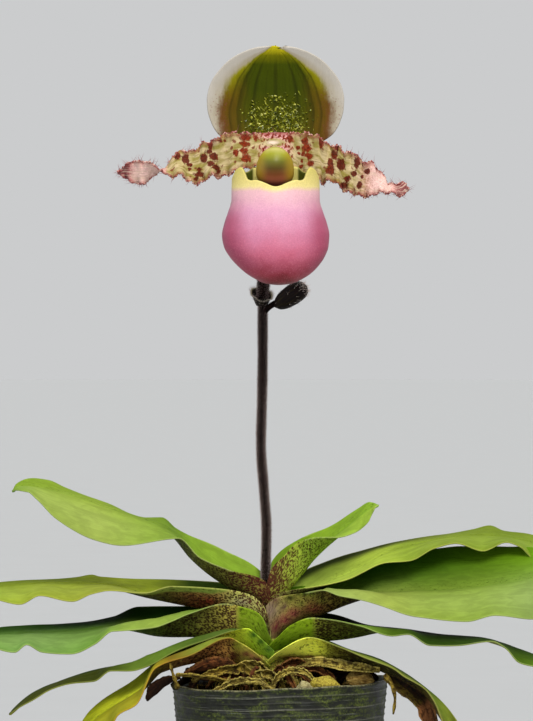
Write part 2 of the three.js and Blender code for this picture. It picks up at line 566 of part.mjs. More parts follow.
// Petals: the margins' heights against the distance out from the flower's centre line.
const PETALS = {
  petal_left: {
    side: -1,
    upper: [[0.4, 263.4], [9, 263], [15, 263], [19.5, 261.8], [22, 260.2], [25, 259.6],
      [27, 257.8], [29.5, 256.8], [33.6, 257.2], [36.3, 254.8], [37.5, 252], [39.3, 250.6],
      [42, 251.4], [45.2, 253], [49.5, 253], [53, 251.6], [54.6, 249.4]],
    lower: [[0.4, 256.6], [5, 255.2], [7.6, 252.4], [13, 250.4], [17.4, 248.4], [20, 248],
      [22.6, 248.6], [24.7, 246.4], [27, 245.4], [29, 245.8], [33.8, 248.6], [36, 247.4],
      [38.8, 249.4], [41, 248.8], [43.4, 247.8], [46, 246.2], [49.2, 245.4], [51.9, 246.6],
      [54.6, 248.7]],
    roll: [[0, 0], [25, -18], [36, -50], [39, -88], [43, -125], [54.6, -150]],
    width: [[0, 4], [10, 6.8], [27, 6.6], [36, 5.6], [39, 4.4], [46, 4.6], [52, 3], [54.6, 0.5]],
  },
  petal_right: {
    side: 1,
    upper: [[0.4, 263.4], [9.5, 263], [15.8, 261.4], [17.8, 259.2], [22.3, 258.2], [24, 256.2],
      [27.5, 256], [30.3, 253], [34, 252.6], [35.8, 249.8], [37.9, 248.4], [39, 245.6],
      [42, 245.4], [44.8, 246], [45.9, 244.2]],
    lower: [[0.4, 256.6], [5, 255.2], [9.5, 248.2], [15.4, 247.2], [16.4, 245.8], [18.5, 246.8],
      [21, 245.8], [24, 243.2], [26.8, 242.4], [29.6, 241.4], [32, 241.2], [36.5, 242.6],
      [40.3, 242.6], [43.8, 241.2], [45.9, 243.6]],
    roll: [[0, 0], [22, 18], [34, 45], [39, 80], [42, 110], [45.9, 130]],
    width: [[0, 4], [10, 6.8], [24, 6.6], [34, 5.2], [39, 3.6], [43, 3], [45.9, 0.5]],
  },
};

// A narrow petal: its margins keep their heights while the blade turns over at its neck.
function petal(name) {
  const { side, upper, lower, roll, width } = PETALS[name];
  const [top, bottom, turn, half] = [upper, lower, roll, width].map(curve);
  const end = upper.at(-1)[0];
  return plated(spaced(25).map((t) => {
    const out = mix(0.4, end, t);
    const middle = (top(out) + bottom(out)) / 2;
    const rise = Math.max((top(out) - bottom(out)) / 2, 0.8);
    const depth = Math.sqrt(Math.max(half(out) ** 2 - rise ** 2, 0)) * Math.sign(turn(out) * side);
    const droop = -7.4 - 2 * Math.sin(out / 14) - 0.05 * out;
    return [-1, -0.4, 0.4, 1].map((u) => (
      [FLOWER.x + side * out, droop + depth * u * 0.6, middle + rise * u]));
  }), PETAL_THICKNESS);
}

// The pouch: rings that swell from the mouth to the toe. [drop below the mouth, half width,
// half depth, y of the middle]
const POUCH_TOP = 245.4;
const POUCH_RINGS = [[-6, 15.2, 11.4, -20], [2, 15.3, 11.8, -20.4], [6, 15.6, 12.6, -21.4],
  [10, 16.9, 13.6, -22.8], [14, 18, 14.4, -24.2], [18, 18.5, 14.8, -25.6], [22, 18, 14.6, -26.8],
  [25.5, 16.4, 13.6, -27.8], [28.5, 14, 12, -28.4], [31.2, 11, 9.6, -28.8],
  [33.2, 7.6, 6.8, -29], [34.5, 4.2, 3.8, -29], [34.9, 1, 1, -29]];

// How far the rim stands above the mouth's front edge, round the mouth (degrees, front 270).
const RIM = curve([[-90, 0.2], [-74, 1.2], [-58, 1.6], [-48, 4.6], [-38, 5.6], [-26, 3.9], [0, 3.4],
  [35, 5], [60, 5.4], [90, 1], [120, 5.4], [145, 5], [180, 3.4], [206, 3.9], [218, 5.6],
  [228, 4.6], [238, 1.6], [254, 1.2], [270, 0.2]]);

function pouchRings(shrink) {
  const [wide, deep, middle] = [1, 2, 3].map((k) => curve(POUCH_RINGS.map((r) => [r[0], r[k]])));
  const toe = POUCH_RINGS.at(-1)[0] - shrink;
  return spaced(POUCH.rows).map((t) => spaced(POUCH.segments).slice(0, -1).map((s) => {
    const angle = mix(-90, 270, s);
    const drop = toe * Math.sin(radians(90 * t)) ** 1.2 - (1 - t) ** 4 * RIM(angle);
    const a = radians(angle);
    const lean = (1 - t) ** 6 * 0.8; // the rim curls in slightly
    const w = Math.max(wide(drop) - shrink - lean, 0.3);
    const d = Math.max(deep(drop) - shrink - lean, 0.3);
    return [FLOWER.x + w * Math.cos(a), middle(drop) + d * Math.sin(a), POUCH_TOP - drop];
  }));
}

const pouch = () => stack([...pouchRings(0).reverse(), ...pouchRings(POUCH.wall)]);

// The column that sits in the pouch's mouth, and its shield.
const column = (extra) => joined([
  bar([[FLOWER.x, FLOWER.y - 3.6 + extra, 252.6], [FLOWER.x, -10.6, 251.6],
    [FLOWER.x, -14.2 - extra, 250]], (t) => mix(2.7, 3.3, t) + extra, 12, 5),
  ...[[-3.4, 249.6], [3.4, 249.6], [0, 247.4]].map(([across, z]) => (
    ball(FLOWER.x + across, -12.4, z, [1.8, 1.8, 1.7].map((r) => r + extra), 0, 10)))]);
const staminode = () => ball(FLOWER.x - 0.1, -19.4, 251.4, [6.5, 3.9, 6.9], 0, 20);

// ---- assembly -------------------------------------------------------------------------

function mesh(name, body, slot) {
  const { vertProperties, triVerts } = body.getMesh();
  const geometry = new THREE.BufferGeometry();
  geometry.setAttribute('position', new THREE.BufferAttribute(new Float32Array(vertProperties), 3));
  geometry.setIndex(new THREE.BufferAttribute(new Uint32Array(triVerts), 1));
  geometry.computeVertexNormals();
  const [color, roughness] = MATERIALS[slot];
  const material = new THREE.MeshStandardMaterial({ color, roughness, metalness: 0 });
  material.name = slot;
  const object = new THREE.Mesh(geometry, material);
  object.name = name;
  return object;
}

function orchid() {
  const group = new THREE.Group();
  group.name = 'potted_slipper_orchid';
  const add = (name, body, slot) => group.add(mesh(name, body, slot));

  const spaces = [crown(0.3 + GAP), scape(GAP)];
  add('pot', pot(), 'pot_plastic');
  add('crown', clearOf(crown(0.3), [scape(GAP)]), 'sheath_green');
  const bark = clearOf(pottingMix(), [crown(0.3 + GAP)]);
  add('potting_mix', bark, 'potting_bark');
  spaces.push(joined([bark, bark.translate([0, 0, GAP])]));
  Object.keys(LEAVES).forEach((name) => {
    const { body, space } = leaf(name);
    add(name, clearOf(body, spaces), LEAVES[name].aged ? 'leaf_aged' : 'leaf_green');
    spaces.push(space);
  });
  Object.entries(DRY).forEach(([name, strip]) => {
    const { body, space } = dryStrip(strip);
    add(name, clearOf(body, spaces), strip.slot);
    spaces.push(space);
  });
  Object.entries(STRAWS).forEach(([name, path]) => {
    add(name, clearOf(bar(path, (t) => mix(0.8, 0.5, t), 6, 7), spaces), 'dry_leaf');
  });

  add('scape', scape(0), 'scape_brown');
  add('ovary', clearOf(ovary(0), [scape(GAP)]), 'scape_brown');
  add('bract_cup', clearOf(bractCup(), [scape(GAP), ovary(GAP)]), 'bract_brown');
  add('bud', clearOf(bud(), [scape(GAP), ovary(GAP)]), 'bract_brown');

  const core = [ovary(GAP)];
  const lip = pouch();
  const [back, low] = [dorsalSepal(), synsepal()];
  add('dorsal_sepal', clearOf(back.body, core), 'sepal_green');
  core.push(back.space);
  add('synsepal', clearOf(low.body, core), 'sepal_green');
  core.push(low.space);
  ['petal_left', 'petal_right'].forEach((name) => {
    const { body, space } = petal(name);
    add(name, clearOf(body, core), 'petal_cream');
    core.push(space);
  });
  add('column', clearOf(column(0), core), 'column_green');
  add('lip_pouch', clearOf(lip, [...core, column(GAP)]), 'pouch_pink');
  add('staminode', staminode(), 'column_green');
  return group;
}

export default orchid();
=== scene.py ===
# %% [markdown]
# # A slipper orchid in its nursery pot
# The plant was first built as plain solids: ten leaves in two ranks, one stalk with one flower, and
# a soft pot of bark. This lesson dresses those solids. Every piece is a closed mesh made from a few
# named sizes, and every finish is built from nodes.

import math

import bpy
import mathutils
import numpy as np
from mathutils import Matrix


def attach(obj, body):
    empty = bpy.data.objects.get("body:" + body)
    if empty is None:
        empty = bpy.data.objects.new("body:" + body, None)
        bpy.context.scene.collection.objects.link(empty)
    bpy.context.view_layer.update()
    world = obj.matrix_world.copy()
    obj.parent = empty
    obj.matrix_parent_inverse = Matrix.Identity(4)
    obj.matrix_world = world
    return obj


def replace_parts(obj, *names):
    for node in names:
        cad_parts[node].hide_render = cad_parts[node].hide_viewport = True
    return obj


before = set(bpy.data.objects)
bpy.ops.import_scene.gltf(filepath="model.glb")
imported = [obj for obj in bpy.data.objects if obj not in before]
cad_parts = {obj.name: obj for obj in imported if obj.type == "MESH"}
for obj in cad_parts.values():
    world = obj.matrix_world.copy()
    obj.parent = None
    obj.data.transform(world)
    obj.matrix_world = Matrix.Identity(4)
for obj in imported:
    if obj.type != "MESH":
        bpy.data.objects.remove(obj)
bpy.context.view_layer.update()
MM = 0.001

# %% [markdown]
# ## Where the viewer stands
# A plant portrait is taken from far off with a long lens, level with the middle of the plant, so
# that the leaves aren't bent by perspective. The light is soft: a wide key lamp high in front, a
# weaker one on the left, one above, and a pale sky all round. Far-off lamps light the whole floor
# alike, which keeps the background plain.

# %% Camera, lamps and sky
CAMERA_AT = (-4.55, -1500, 184.2)  # mm
VIEW_HEIGHT = 252.35  # mm of the plant's own plane that fill the picture from top to bottom
SENSOR = 36  # mm, along the picture's longer side
SIGHT = 60  # m that the camera sees


def placed(name, data):
    """An object that carries the data, put into the scene."""
    holder = bpy.data.objects.new(name, data)
    bpy.context.collection.objects.link(holder)
    return holder


camera = placed("camera", bpy.data.cameras.new("camera"))
camera.data.sensor_width = SENSOR
camera.data.lens = SENSOR * -CAMERA_AT[1] / VIEW_HEIGHT
camera.data.clip_end = SIGHT
camera.location = [v * MM for v in CAMERA_AT]
camera.rotation_euler = (math.radians(90), 0, 0)
bpy.context.scene.camera = camera
bpy.context.scene.view_settings.view_transform = "Standard"


def linear(colour):
    """A colour of 0 to 255 screen values, as the linear light that a shader wants."""
    c = np.asarray(colour, float) / 255
    return np.where(c < 0.04045, c / 12.92, ((c + 0.055) / 1.055) ** 2.4)


def lamp(name, towards, strength, spread, colour):
    """A far-off soft lamp; `towards` points from the plant to it and `spread` is how wide it looks."""
    light = bpy.data.lights.new(name, "SUN")
    light.energy, light.angle, light.color = strength, math.radians(spread), linear(colour)
    turn = mathutils.Vector(towards).to_track_quat("Z", "Y")
    placed(name, light).rotation_euler = turn.to_euler()


lamp("key_light", (0.2, -0.7, 0.74), 2.7, 24, (255, 250, 242))
lamp("fill_light", (-0.85, -0.7, 0.42), 0.6, 50, (246, 249, 255))
lamp("top_light", (0.1, 0.2, 1), 0.9, 40, (255, 253, 248))

# The sky is brightest along the horizon, in the floor's own tone, so no line shows where they meet.
world = bpy.data.worlds.new("pale_room")
world.use_nodes = True
nodes, links = world.node_tree.nodes, world.node_tree.links
direction = nodes.new("ShaderNodeTexCoord").outputs["Generated"]
height = nodes.new("ShaderNodeSeparateXYZ")
links.new(direction, height.inputs[0])
sky = nodes.new("ShaderNodeValToRGB")
links.new(height.outputs["Z"], sky.inputs[0])
for element, (place, tone) in zip(sky.color_ramp.elements, ((0.1, 203), (0.45, 168))):
    element.position, element.color = place, (*linear((tone, tone + 1, tone + 2)), 1)
links.new(sky.outputs["Color"], nodes["Background"].inputs["Color"])
bpy.context.scene.world = world
print("lens:", round(camera.data.lens), "mm")

# %% [markdown]
# ## Curves
# A leaf's edge is drawn through a few measured points. An ordinary spline swings past them where
# the edge is sharp, so this one limits its slopes and never overshoots.

# %% Smooth curves and steps


def curve(points):
    """A smooth function through (x, value) points that never overshoots them."""
    x, v = np.array(sorted(points), float).T
    h = np.diff(x)
    slope = np.diff(v) / h
    tangent = np.concatenate([slope[:1], np.zeros(len(v) - 2), slope[-1:]])
    a, b = slope[:-1], slope[1:]
    same = a * b > 0
    w0, w1 = 2 * h[1:] + h[:-1], h[1:] + 2 * h[:-1]
    inner = np.zeros(len(v) - 2)
    inner[same] = (w0 + w1)[same] / (w0[same] / a[same] + w1[same] / b[same])
    tangent[1:-1] = inner

    def value(at):
        t = np.clip(at, x[0], x[-1])
        i = np.clip(np.searchsorted(x, t, side="right") - 1, 0, len(h) - 1)
        u = (t - x[i]) / h[i]
        return ((2 * u**3 - 3 * u**2 + 1) * v[i] + (u**3 - 2 * u**2 + u) * h[i] * tangent[i]
                + (3 * u**2 - 2 * u**3) * v[i + 1] + (u**3 - u**2) * h[i] * tangent[i + 1])

    return value


def mix(a, b, t):
    return a + (b - a) * t


def step(value, low, high):
    """0 below `low`, 1 above `high`, and a smooth rise between them."""
    t = np.clip((value - low) / (high - low), 0, 1)
    return t * t * (3 - 2 * t)


def unit(v):
    return v / np.maximum(np.linalg.norm(v, axis=-1, keepdims=True), 1e-12)


WAVES = 6
FULL_TURN = 6.3  # radians, near enough for waves


def waves(x, y, seed, pitch):
    """Gentle repeatable unevenness from -1 to 1, with bumps about `pitch` apart."""
    random = np.random.default_rng(seed)
    total = 0
    for _ in range(WAVES):
        turn, _ = random.uniform(0, 2 * math.pi, 2)
        phase, size = random.uniform(0, FULL_TURN), random.uniform(0.6, 1.5)
        total = total + np.sin((x * math.cos(turn) + y * math.sin(turn)) * FULL_TURN / pitch * size + phase)
    return total / WAVES


# %% [markdown]
# ## Closed bodies
# A petal, a leaf and a pot wall are all thin, but none is a single sheet of faces: each has an upper
# side, a lower side and a rounded edge between them. So a grid of middle points is thickened both
# ways and joined round its rim. Points carry named values, such as how far out along the leaf they
# are, and the finishes read those values.

# %% Bodies from grids


def round_angles(count):
    """Even angles round one full turn."""
    return np.linspace(0, 2 * math.pi, count, endpoint=False)


def piece(name, points, faces, finish, values=None):
    """One closed piece from points in millimetres, riding on the plant."""
    points, faces = np.asarray(points, float), np.asarray(faces)
    a, b, c, d = (points[faces[:, k]] for k in (0, 1, 2, -1))
    volume = sum(np.einsum("ij,ij->i", a, np.cross(*pair)).sum() for pair in ((b, c), (c, d)))
    if volume < 0:
        faces = faces[:, ::-1]
    mesh = bpy.data.meshes.new(name)
    mesh.from_pydata((points * MM).tolist(), [], [f[:3] if f[0] == f[3] else f for f in faces.tolist()])
    mesh.validate()
    for key, value in (values or {}).items():
        value = np.asarray(value, float).reshape(len(points), -1)
        kind, field = ("FLOAT_VECTOR", "vector") if value.shape[1] == 3 else ("FLOAT", "value")
        mesh.attributes.new(key, kind, "POINT").data.foreach_set(field, value.ravel())
    mesh.shade_smooth()
    mesh.materials.append(finish)
    made = placed(name, mesh)
    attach(made, "root")
    return made


def quads(rows, cols, ring=False):
    """Faces between the points of a grid; `ring` joins the last column to the first."""
    i, j = np.meshgrid(np.arange(rows - 1), np.arange(cols if ring else cols - 1), indexing="ij")
    k = (j + 1) % cols
    return np.stack([i * cols + j, (i + 1) * cols + j, (i + 1) * cols + k, i * cols + k], -1).reshape(-1, 4)


def per_point(values, rows, cols):
    """The named values of a grid, each as one row for every point."""
    shapes = {key: (rows, cols, 3) if np.ndim(value) == 3 else (rows, cols)
              for key, value in (values or {}).items()}
    return {key: np.broadcast_to(values[key], shape).reshape(rows * cols, -1) for key,
            shape in shapes.items()}


def sheet(name, grid, thickness, finish, values=None):
    """A thin body round a grid of middle points, with a rounded edge that may carry hairs."""
    rows, cols = grid.shape[:2]
    normal = unit(np.cross(np.gradient(grid, axis=0), np.gradient(grid, axis=1)))
    half = (np.broadcast_to(thickness, (rows, cols)) / 2)[..., None]
    loop = [(0, j) for j in range(cols - 1)] + [(i, cols - 1) for i in range(rows - 1)]
    loop += [(rows - 1, j) for j in range(cols - 1, 0, -1)] + [(i, 0) for i in range(rows - 1, 0, -1)]
    edge = np.array(loop)
    inner = np.clip(edge, 1, [rows - 2, cols - 2])
    at, to = grid[edge[:, 0], edge[:, 1]], grid[inner[:, 0], inner[:, 1]]
    outward = unit(at - to)
    points = np.vstack([(grid + normal * half).reshape(-1, 3), (grid - normal * half).reshape(-1, 3),
                        at + outward * half[edge[:, 0], edge[:, 1]]])
    n, m = rows * cols, len(edge)
    upper = edge[:, 0] * cols + edge[:, 1]
    turn = np.roll(np.arange(m), -1)
    middle = 2 * n + np.arange(m)
    top = quads(rows, cols)
    faces = np.vstack([top, top[:, ::-1] + n,
                       np.stack([upper, middle, middle[turn], upper[turn]], -1)[:, ::-1],
                       np.stack([middle, upper + n, upper[turn] + n, middle[turn]], -1)[:, ::-1]])
    full = {key: np.vstack([flat, flat, flat[upper]]) for key, flat in per_point(values, rows, cols).items()}
    full["face"] = np.concatenate([np.ones(n), np.zeros(n), np.full(m, 0.5)])
    full.setdefault("hairy", np.concatenate([np.zeros(2 * n), np.ones(m)]))
    full["outward"] = np.vstack([normal.reshape(-1, 3), -normal.reshape(-1, 3), outward])
    return piece(name, points, faces, finish, full)


# %% [markdown]
# ## Stacks of rings
# Stems, buds, the pot and the pouch are round in some way, so each is a stack of rings. The ends
# are closed on one point, except where a wall turns over at a rim and comes back to its start.

# %% Bodies from rings


def capped(rows, cols):
    """Faces of a stack of rings whose two ends are closed on one more point each."""
    j = np.arange(cols)
    k = (j + 1) % cols
    last = (rows - 1) * cols
    foot, head = np.full(cols, rows * cols), np.full(cols, rows * cols + 1)
    return np.vstack([quads(rows, cols, ring=True), np.stack([foot, j, k, foot], -1),
                      np.stack([head, last + k, last + j, head], -1)])


def stack(name, rings, finish, values=None, hollow=False):
    """A body from a stack of rings, closed by a point at each end or, when hollow, on itself."""
    rings = np.asarray(rings, float)
    rows, cols = rings.shape[:2]
    points, faces = rings.reshape(-1, 3), capped(rows, cols)
    flat = per_point(values, rows, cols)
    if hollow:
        first = np.arange(cols)
        last = first + (rows - 1) * cols
        closing = np.stack([last, first, np.roll(first, -1), np.roll(last, -1)], -1)
        faces = np.vstack([quads(rows, cols, ring=True), closing])
    else:
        points = np.vstack([points, rings[0].mean(0), rings[-1].mean(0)])
        flat = {key: np.vstack([value, value[:1], value[-1:]]) for key, value in flat.items()}
    return piece(name, points, faces, finish, flat)


def along(path, steps):
    """Points and directions at even steps on a smooth line through the given points."""
    path = np.asarray(path, float)
    reach = np.concatenate([[0], np.cumsum(np.linalg.norm(np.diff(path, axis=0), axis=1))])
    line = [curve(list(zip(reach, path[:, k]))) for k in range(3)]
    s = np.linspace(0, reach[-1], steps)
    points = np.stack([f(s) for f in line], -1)
    return points, unit(np.gradient(points, axis=0)), s


def bar_rings(path, radius, sides=16, steps=60, flat=1.0):
    """Rings of a round bar along a path; `radius` is a number or a function of 0 to 1."""
    points, direction, s = along(path, steps)
    side = np.cross((0, 1, 0), direction)
    weak = np.linalg.norm(side, axis=1) < 0.3
    side[weak] = np.cross((1, 0, 0), direction[weak])
    side = unit(side)
    other = np.cross(direction, side)
    r = np.array([radius(t) if callable(radius) else radius for t in s / s[-1]])
    a = round_angles(sides)
    rings = (points[:, None] + r[:, None, None] * (side[:, None] * np.cos(a)[None, :, None]
             + flat * other[:, None] * np.sin(a)[None, :, None]))
    return rings, s, a


print("helpers ready")

# %% [markdown]
# ## Finishes from nodes
# A finish is a small graph: patterns made by noise and cells, bent into shape by ramps, and mixed
# into the colour, the gloss and the relief. The little class below adds one node per call and hands
# back its output, so that a finish reads like a recipe. Patterns are measured in millimetres.

# %% A helper that builds finishes


class Finish:
    """A material under construction; each call adds a node and gives its output back."""

    def __init__(self, name, **plain):
        self.material = bpy.data.materials.new(name)
        self.material.use_nodes = True
        self.tree = self.material.node_tree
        self.shader = self.tree.nodes["Principled BSDF"]
        for key, value in plain.items():
            self.shader.inputs[key.replace("_", " ").title().replace("Ior", "IOR")].default_value = value

    def add(self, kind, inputs, output=0, **options):
        node = self.tree.nodes.new(kind)
        for key, value in options.items():
            setattr(node, key, value)
        for key, value in inputs.items():
            if isinstance(value, bpy.types.NodeSocket):
                self.tree.links.new(value, node.inputs[key])
            else:
                node.inputs[key].default_value = value
        return node.outputs[output]

    def number(self, name):
        return self.add("ShaderNodeAttribute", {}, "Fac", attribute_name=name)

    def vector(self, name):
        return self.add("ShaderNodeAttribute", {}, "Vector", attribute_name=name)

    def tint(self, name="tint"):
        return self.add("ShaderNodeAttribute", {}, "Color", attribute_name=name)

    def millimetres(self):
        place = self.add("ShaderNodeTexCoord", {}, "Object")
        return self.scaled(place, (1000, 1000, 1000))

    def scaled(self, vector, factors):
        return self.add("ShaderNodeVectorMath", {0: vector, 1: factors}, operation="MULTIPLY")

    def part(self, vector, axis):
        return self.add("ShaderNodeSeparateXYZ", {0: vector}, axis)

    def noise(self, vector, scale=1.0, detail=2.0, roughness=0.5, distortion=0.0):
        return self.add("ShaderNodeTexNoise", {
            "Vector": vector, "Scale": scale, "Detail": detail, "Roughness": roughness,
            "Distortion": distortion})

    def stretched(self, vector, factors, *kind):
        """Noise that is finer along the axes with larger factors."""
        return self.noise(self.scaled(vector, factors), 1, *kind)

    def cells(self, vector, scale):
        return self.add("ShaderNodeTexVoronoi", {"Vector": vector, "Scale": scale}, "Distance")

    def calc(self, operation, a, b=0.0):
        return self.add("ShaderNodeMath", {0: a, 1: b}, operation=operation)

    def plus(self, a, b):
        return self.calc("ADD", a, b)

    def minus(self, a, b):
        return self.calc("SUBTRACT", a, b)

    def times(self, a, b):
        return self.calc("MULTIPLY", a, b)

    def range(self, value, low, high, bottom=0.0, top=1.0):
        return self.add("ShaderNodeMapRange", {
            "Value": value, "From Min": low, "From Max": high, "To Min": bottom, "To Max": top},
            interpolation_type="SMOOTHSTEP")

    def ramp(self, value, stops):
        socket = self.add("ShaderNodeValToRGB", {0: value})
        elements = socket.node.color_ramp.elements
        while len(elements) < len(stops):
            elements.new(1)
        for element, (place, colour) in zip(elements, sorted(stops, key=lambda s: s[0])):
            element.position = place
            grey = np.ndim(colour) == 0
            element.color = (colour, colour, colour, 1) if grey else (*linear(colour), 1)
        return socket

    def blend(self, factor, a, b, how="MIX"):
        as_colour = [v if isinstance(v, bpy.types.NodeSocket) else (*linear(v), 1) for v in (a, b)]
        return self.add("ShaderNodeMix", {0: factor, 6: as_colour[0], 7: as_colour[1]}, 2,
                        data_type="RGBA", blend_type=how)

    def shade(self, colour, factor, low, high):
        """The colour made darker or lighter as `factor` goes from 0 to 1."""
        grey = self.add("ShaderNodeMapRange", {"Value": factor, "To Min": low, "To Max": high})
        return self.add("ShaderNodeVectorMath", {0: colour, "Scale": grey}, operation="SCALE")

    def relief(self, height, depth, strength=1.0):
        return self.add("ShaderNodeBump", {"Height": height, "Distance": depth * MM, "Strength": strength})

    def done(self, colour, roughness=None, normal=None):
        for key, socket in (("Base Color", colour), ("Roughness", roughness), ("Normal", normal)):
            if socket is not None:
                self.tree.links.new(socket, self.shader.inputs[key])
        return self.material


def speckled(name, grain, stops, depth=None, **plain):
    """A simple finish whose colours follow one noise of the given scale, detail and roughness."""
    f = Finish(name, **plain)
    noise = f.noise(f.millimetres(), *grain)
    colour = f.ramp(noise, stops)
    return f.done(colour, None, None if depth is None else f.relief(noise, depth))


# %% [markdown]
# ## The floor
# The pot stands on a plain pale ground. It only has to catch the shadows and to meet the sky
# without a line, so one wide disc with the faintest speckle is enough. It is no piece of the plant.

# %% The floor
FLOOR_RADIUS = 40  # m
FLOOR_SIDES = 96
floor_finish = Finish("pale_floor", roughness=0.7)
floor_speckle = floor_finish.noise(floor_finish.millimetres(), 0.02, 3)
floor_mesh = bpy.data.meshes.new("floor")
floor_mesh.from_pydata([(FLOOR_RADIUS * math.cos(a), FLOOR_RADIUS * math.sin(a), 0)
                        for a in round_angles(FLOOR_SIDES)], [], [list(range(FLOOR_SIDES))])
floor_mesh.materials.append(
    floor_finish.done(floor_finish.blend(floor_speckle, (172, 175, 178), (176, 179, 182))))
floor = placed("floor", floor_mesh)
print("floor radius:", FLOOR_RADIUS, "m")

# %% [markdown]
# ## Leaf finish
# An orchid leaf is leathery and softly glossy. Its colour changes from a pale sheath at the stem to
# a deep green blade, so each point carries its own base tint, which also holds painted light, shade
# and sheen. The nodes add what is fine: veins that run the leaf's length, faint marbling, maroon
# freckles where the sheath wraps the stem, and the thin pale margin.

# %% Leaf material


LEAF_ROUGHNESS = 0.66  # where the leaf is glossiest


def leaf_material(name):
    f = Finish(name, specular_ior_level=0.05)
    place, face, edge, spots = f.vector("place"), f.number("face"), f.number("edge"), f.number("spots")
    veins = f.stretched(place, (0.035, 1.5, 1), 2, 0.6)
    marble = f.stretched(place, (0.16, 0.42, 1), 3, 0.6, 0.6)
    colour = f.shade(f.tint(), veins, 0.86, 1.12)
    colour = f.shade(colour, f.range(marble, 0.35, 0.7), 0.88, 1.08)
    side = f.part(place, 1)
    colour = f.blend(f.range(f.calc("ABSOLUTE", side), 0.5, 0.15, 0, 0.3), colour, (92, 122, 48))
    flecks = f.range(f.stretched(place, (0.8, 1.3, 1), 3, 0.7), 0.54, 0.66, 0, 0.65)
    flecks = f.times(flecks, f.times(f.range(side, 0.8, -0.6), f.range(side, -6.5, -1.5)))
    colour = f.blend(flecks, colour, (52, 74, 10))
    coarse = f.stretched(place, (0.3, 0.5, 1), 3, 0.65)
    wall = f.shade(f.shade(f.tint("wall"), veins, 0.78, 1.2), coarse, 0.62, 1.36)
    mottle = f.stretched(place, (0.55, 0.9, 1), 4, 0.7, 0.6)
    wall = f.blend(f.range(mottle, 0.5, 0.36, 0, 0.7), wall, (40, 32, 12))
    wall = f.blend(f.range(mottle, 0.54, 0.68, 0, 0.45), wall, (166, 164, 70))
    warped = f.stretched(place, (1.1, 2.0, 1), 3, 0.6)
    dots = f.cells(f.scaled(place, (0.8, 1.5, 1)), 1.45)
    freckle = f.plus(dots, f.times(warped, 0.5))
    mask = f.range(f.minus(spots, freckle), -0.05, 0.04)
    dark = f.ramp(warped, [(0.3, (42, 14, 18)), (0.52, (72, 24, 28)), (0.7, (98, 42, 34))])
    distance = f.part(place, 0)
    dark = f.blend(f.range(distance, 11, 22, 0, 0.8), dark, (36, 28, 12))
    wall = f.blend(f.times(mask, 0.92), wall, dark)
    colour = f.blend(f.range(face, 0.62, 0.4), colour, wall)
    margin = f.range(edge, 0.975, 1.0)
    colour = f.blend(f.times(margin, 0.38), colour, f.tint("hem"))
    height = f.plus(f.times(veins, 0.6), f.times(marble, 0.5))
    roughness = f.range(f.noise(place, 0.35, 3), 0.3, 0.7, LEAF_ROUGHNESS, LEAF_ROUGHNESS + 0.16)
    return f.done(colour, roughness, f.relief(height, 0.3, 0.75))


leaf_green, leaf_aged = leaf_material("leaf_green"), leaf_material("leaf_aged")
print("leaf finish nodes:", len(leaf_green.node_tree.nodes))

# %% [markdown]
# ## Leaves
# Each leaf is folded like a keel where it clasps the stem, then opens into a strap and arches over.
# Seen from the front, three lines describe it: the midrib, the margin on the viewer's side and the
# margin behind. They give the rise of both margins over the midrib, and whatever the blade's breadth
# has left goes into depth, so a leaf seen from its edge is still a full leaf. Its colours are looked
# up along the way and kept on its points, which lets one finish serve all ten leaves.

# %% Leaf blades
STEM = {"x": -3.5, "y": -1}
LEAF_ROWS = 120
LEAF_THICKNESS = 1.0  # mm at the midrib
MARGIN_THICKNESS = 0.45
HUG_REACH = 14  # mm from the stem over which the trough opens into the blade
CREASE = {"depth": 0.4, "width": 0.8}  # mm, of the fold along the midrib
UNEVENNESS = 0.2  # mm
TIP = 0.4  # mm, half the breadth that is left at the very tip
SHEEN_TINT = (172, 190, 128)
half_blade = 1 - (1 - np.linspace(0, 1, 14)) ** 1.35
LEAF_COLUMNS = np.concatenate([-half_blade[:0:-1], half_blade])


def level(stops, at):
    """The value between (distance, value) stops."""
    return np.interp(at, *zip(*stops))


def coloured(stops, at):
    """The colour between (distance, red, green, blue) stops, as linear light."""
    where, *channels = zip(*stops)
    return np.stack([np.interp(at, where, linear(channel)) for channel in channels], -1)


def leaf_grid(midrib, near, far, depth, width, hug, crest):
    """The blade's middle points, their place on it, and their way out from the stem and across."""
    middle, near_edge, far_edge, back, half_width = (
        curve(line) for line in (midrib, near, far, depth, width))
    start, tip = midrib[0][0], midrib[-1][0]
    t = np.linspace(0, 1, LEAF_ROWS)
    columns = LEAF_COLUMNS * np.sign(start - tip)  # so that the upper side faces up on both ranks
    x, u = np.meshgrid(start + (tip - start) * (1 - (1 - t) ** 1.15), columns, indexing="ij")
    rise = np.where(u > 0, near_edge(x), far_edge(x)) - middle(x)
    half = np.maximum(half_width(x), np.abs(rise) * 1.03)
    out = np.sign(tip - start) * (x - STEM["x"])
    tucked = mix(0.7, 1, step(out, -2.6, 1)) if tip > start else 1  # right leaves end inside the left ones
    sideways = mix(hug * tucked, np.sqrt(half**2 - rise**2), step(out, 0, HUG_REACH))
    bend = mix(1.8, 1.25, step(out, 4, 30))
    across = u * half
    crease = CREASE["depth"] * np.exp(-(across / CREASE["width"]) ** 2)
    roll = level(crest, out) * np.sin(math.pi * np.clip(u, 0, 1) ** 1.6)
    uneven = UNEVENNESS * waves(x, across * 2, len(near), 17)
    z = middle(x) + rise * np.abs(u) ** bend - crease + roll + uneven
    reach = np.concatenate([[0], np.cumsum(np.hypot(np.diff(x[:, 0]), np.diff(middle(x[:, 0]))))])
    place = np.stack([np.broadcast_to(reach[:, None], x.shape), across, 0 * x], -1)
    return np.stack([x, back(x) - sideways * u, z], -1), place, out, u


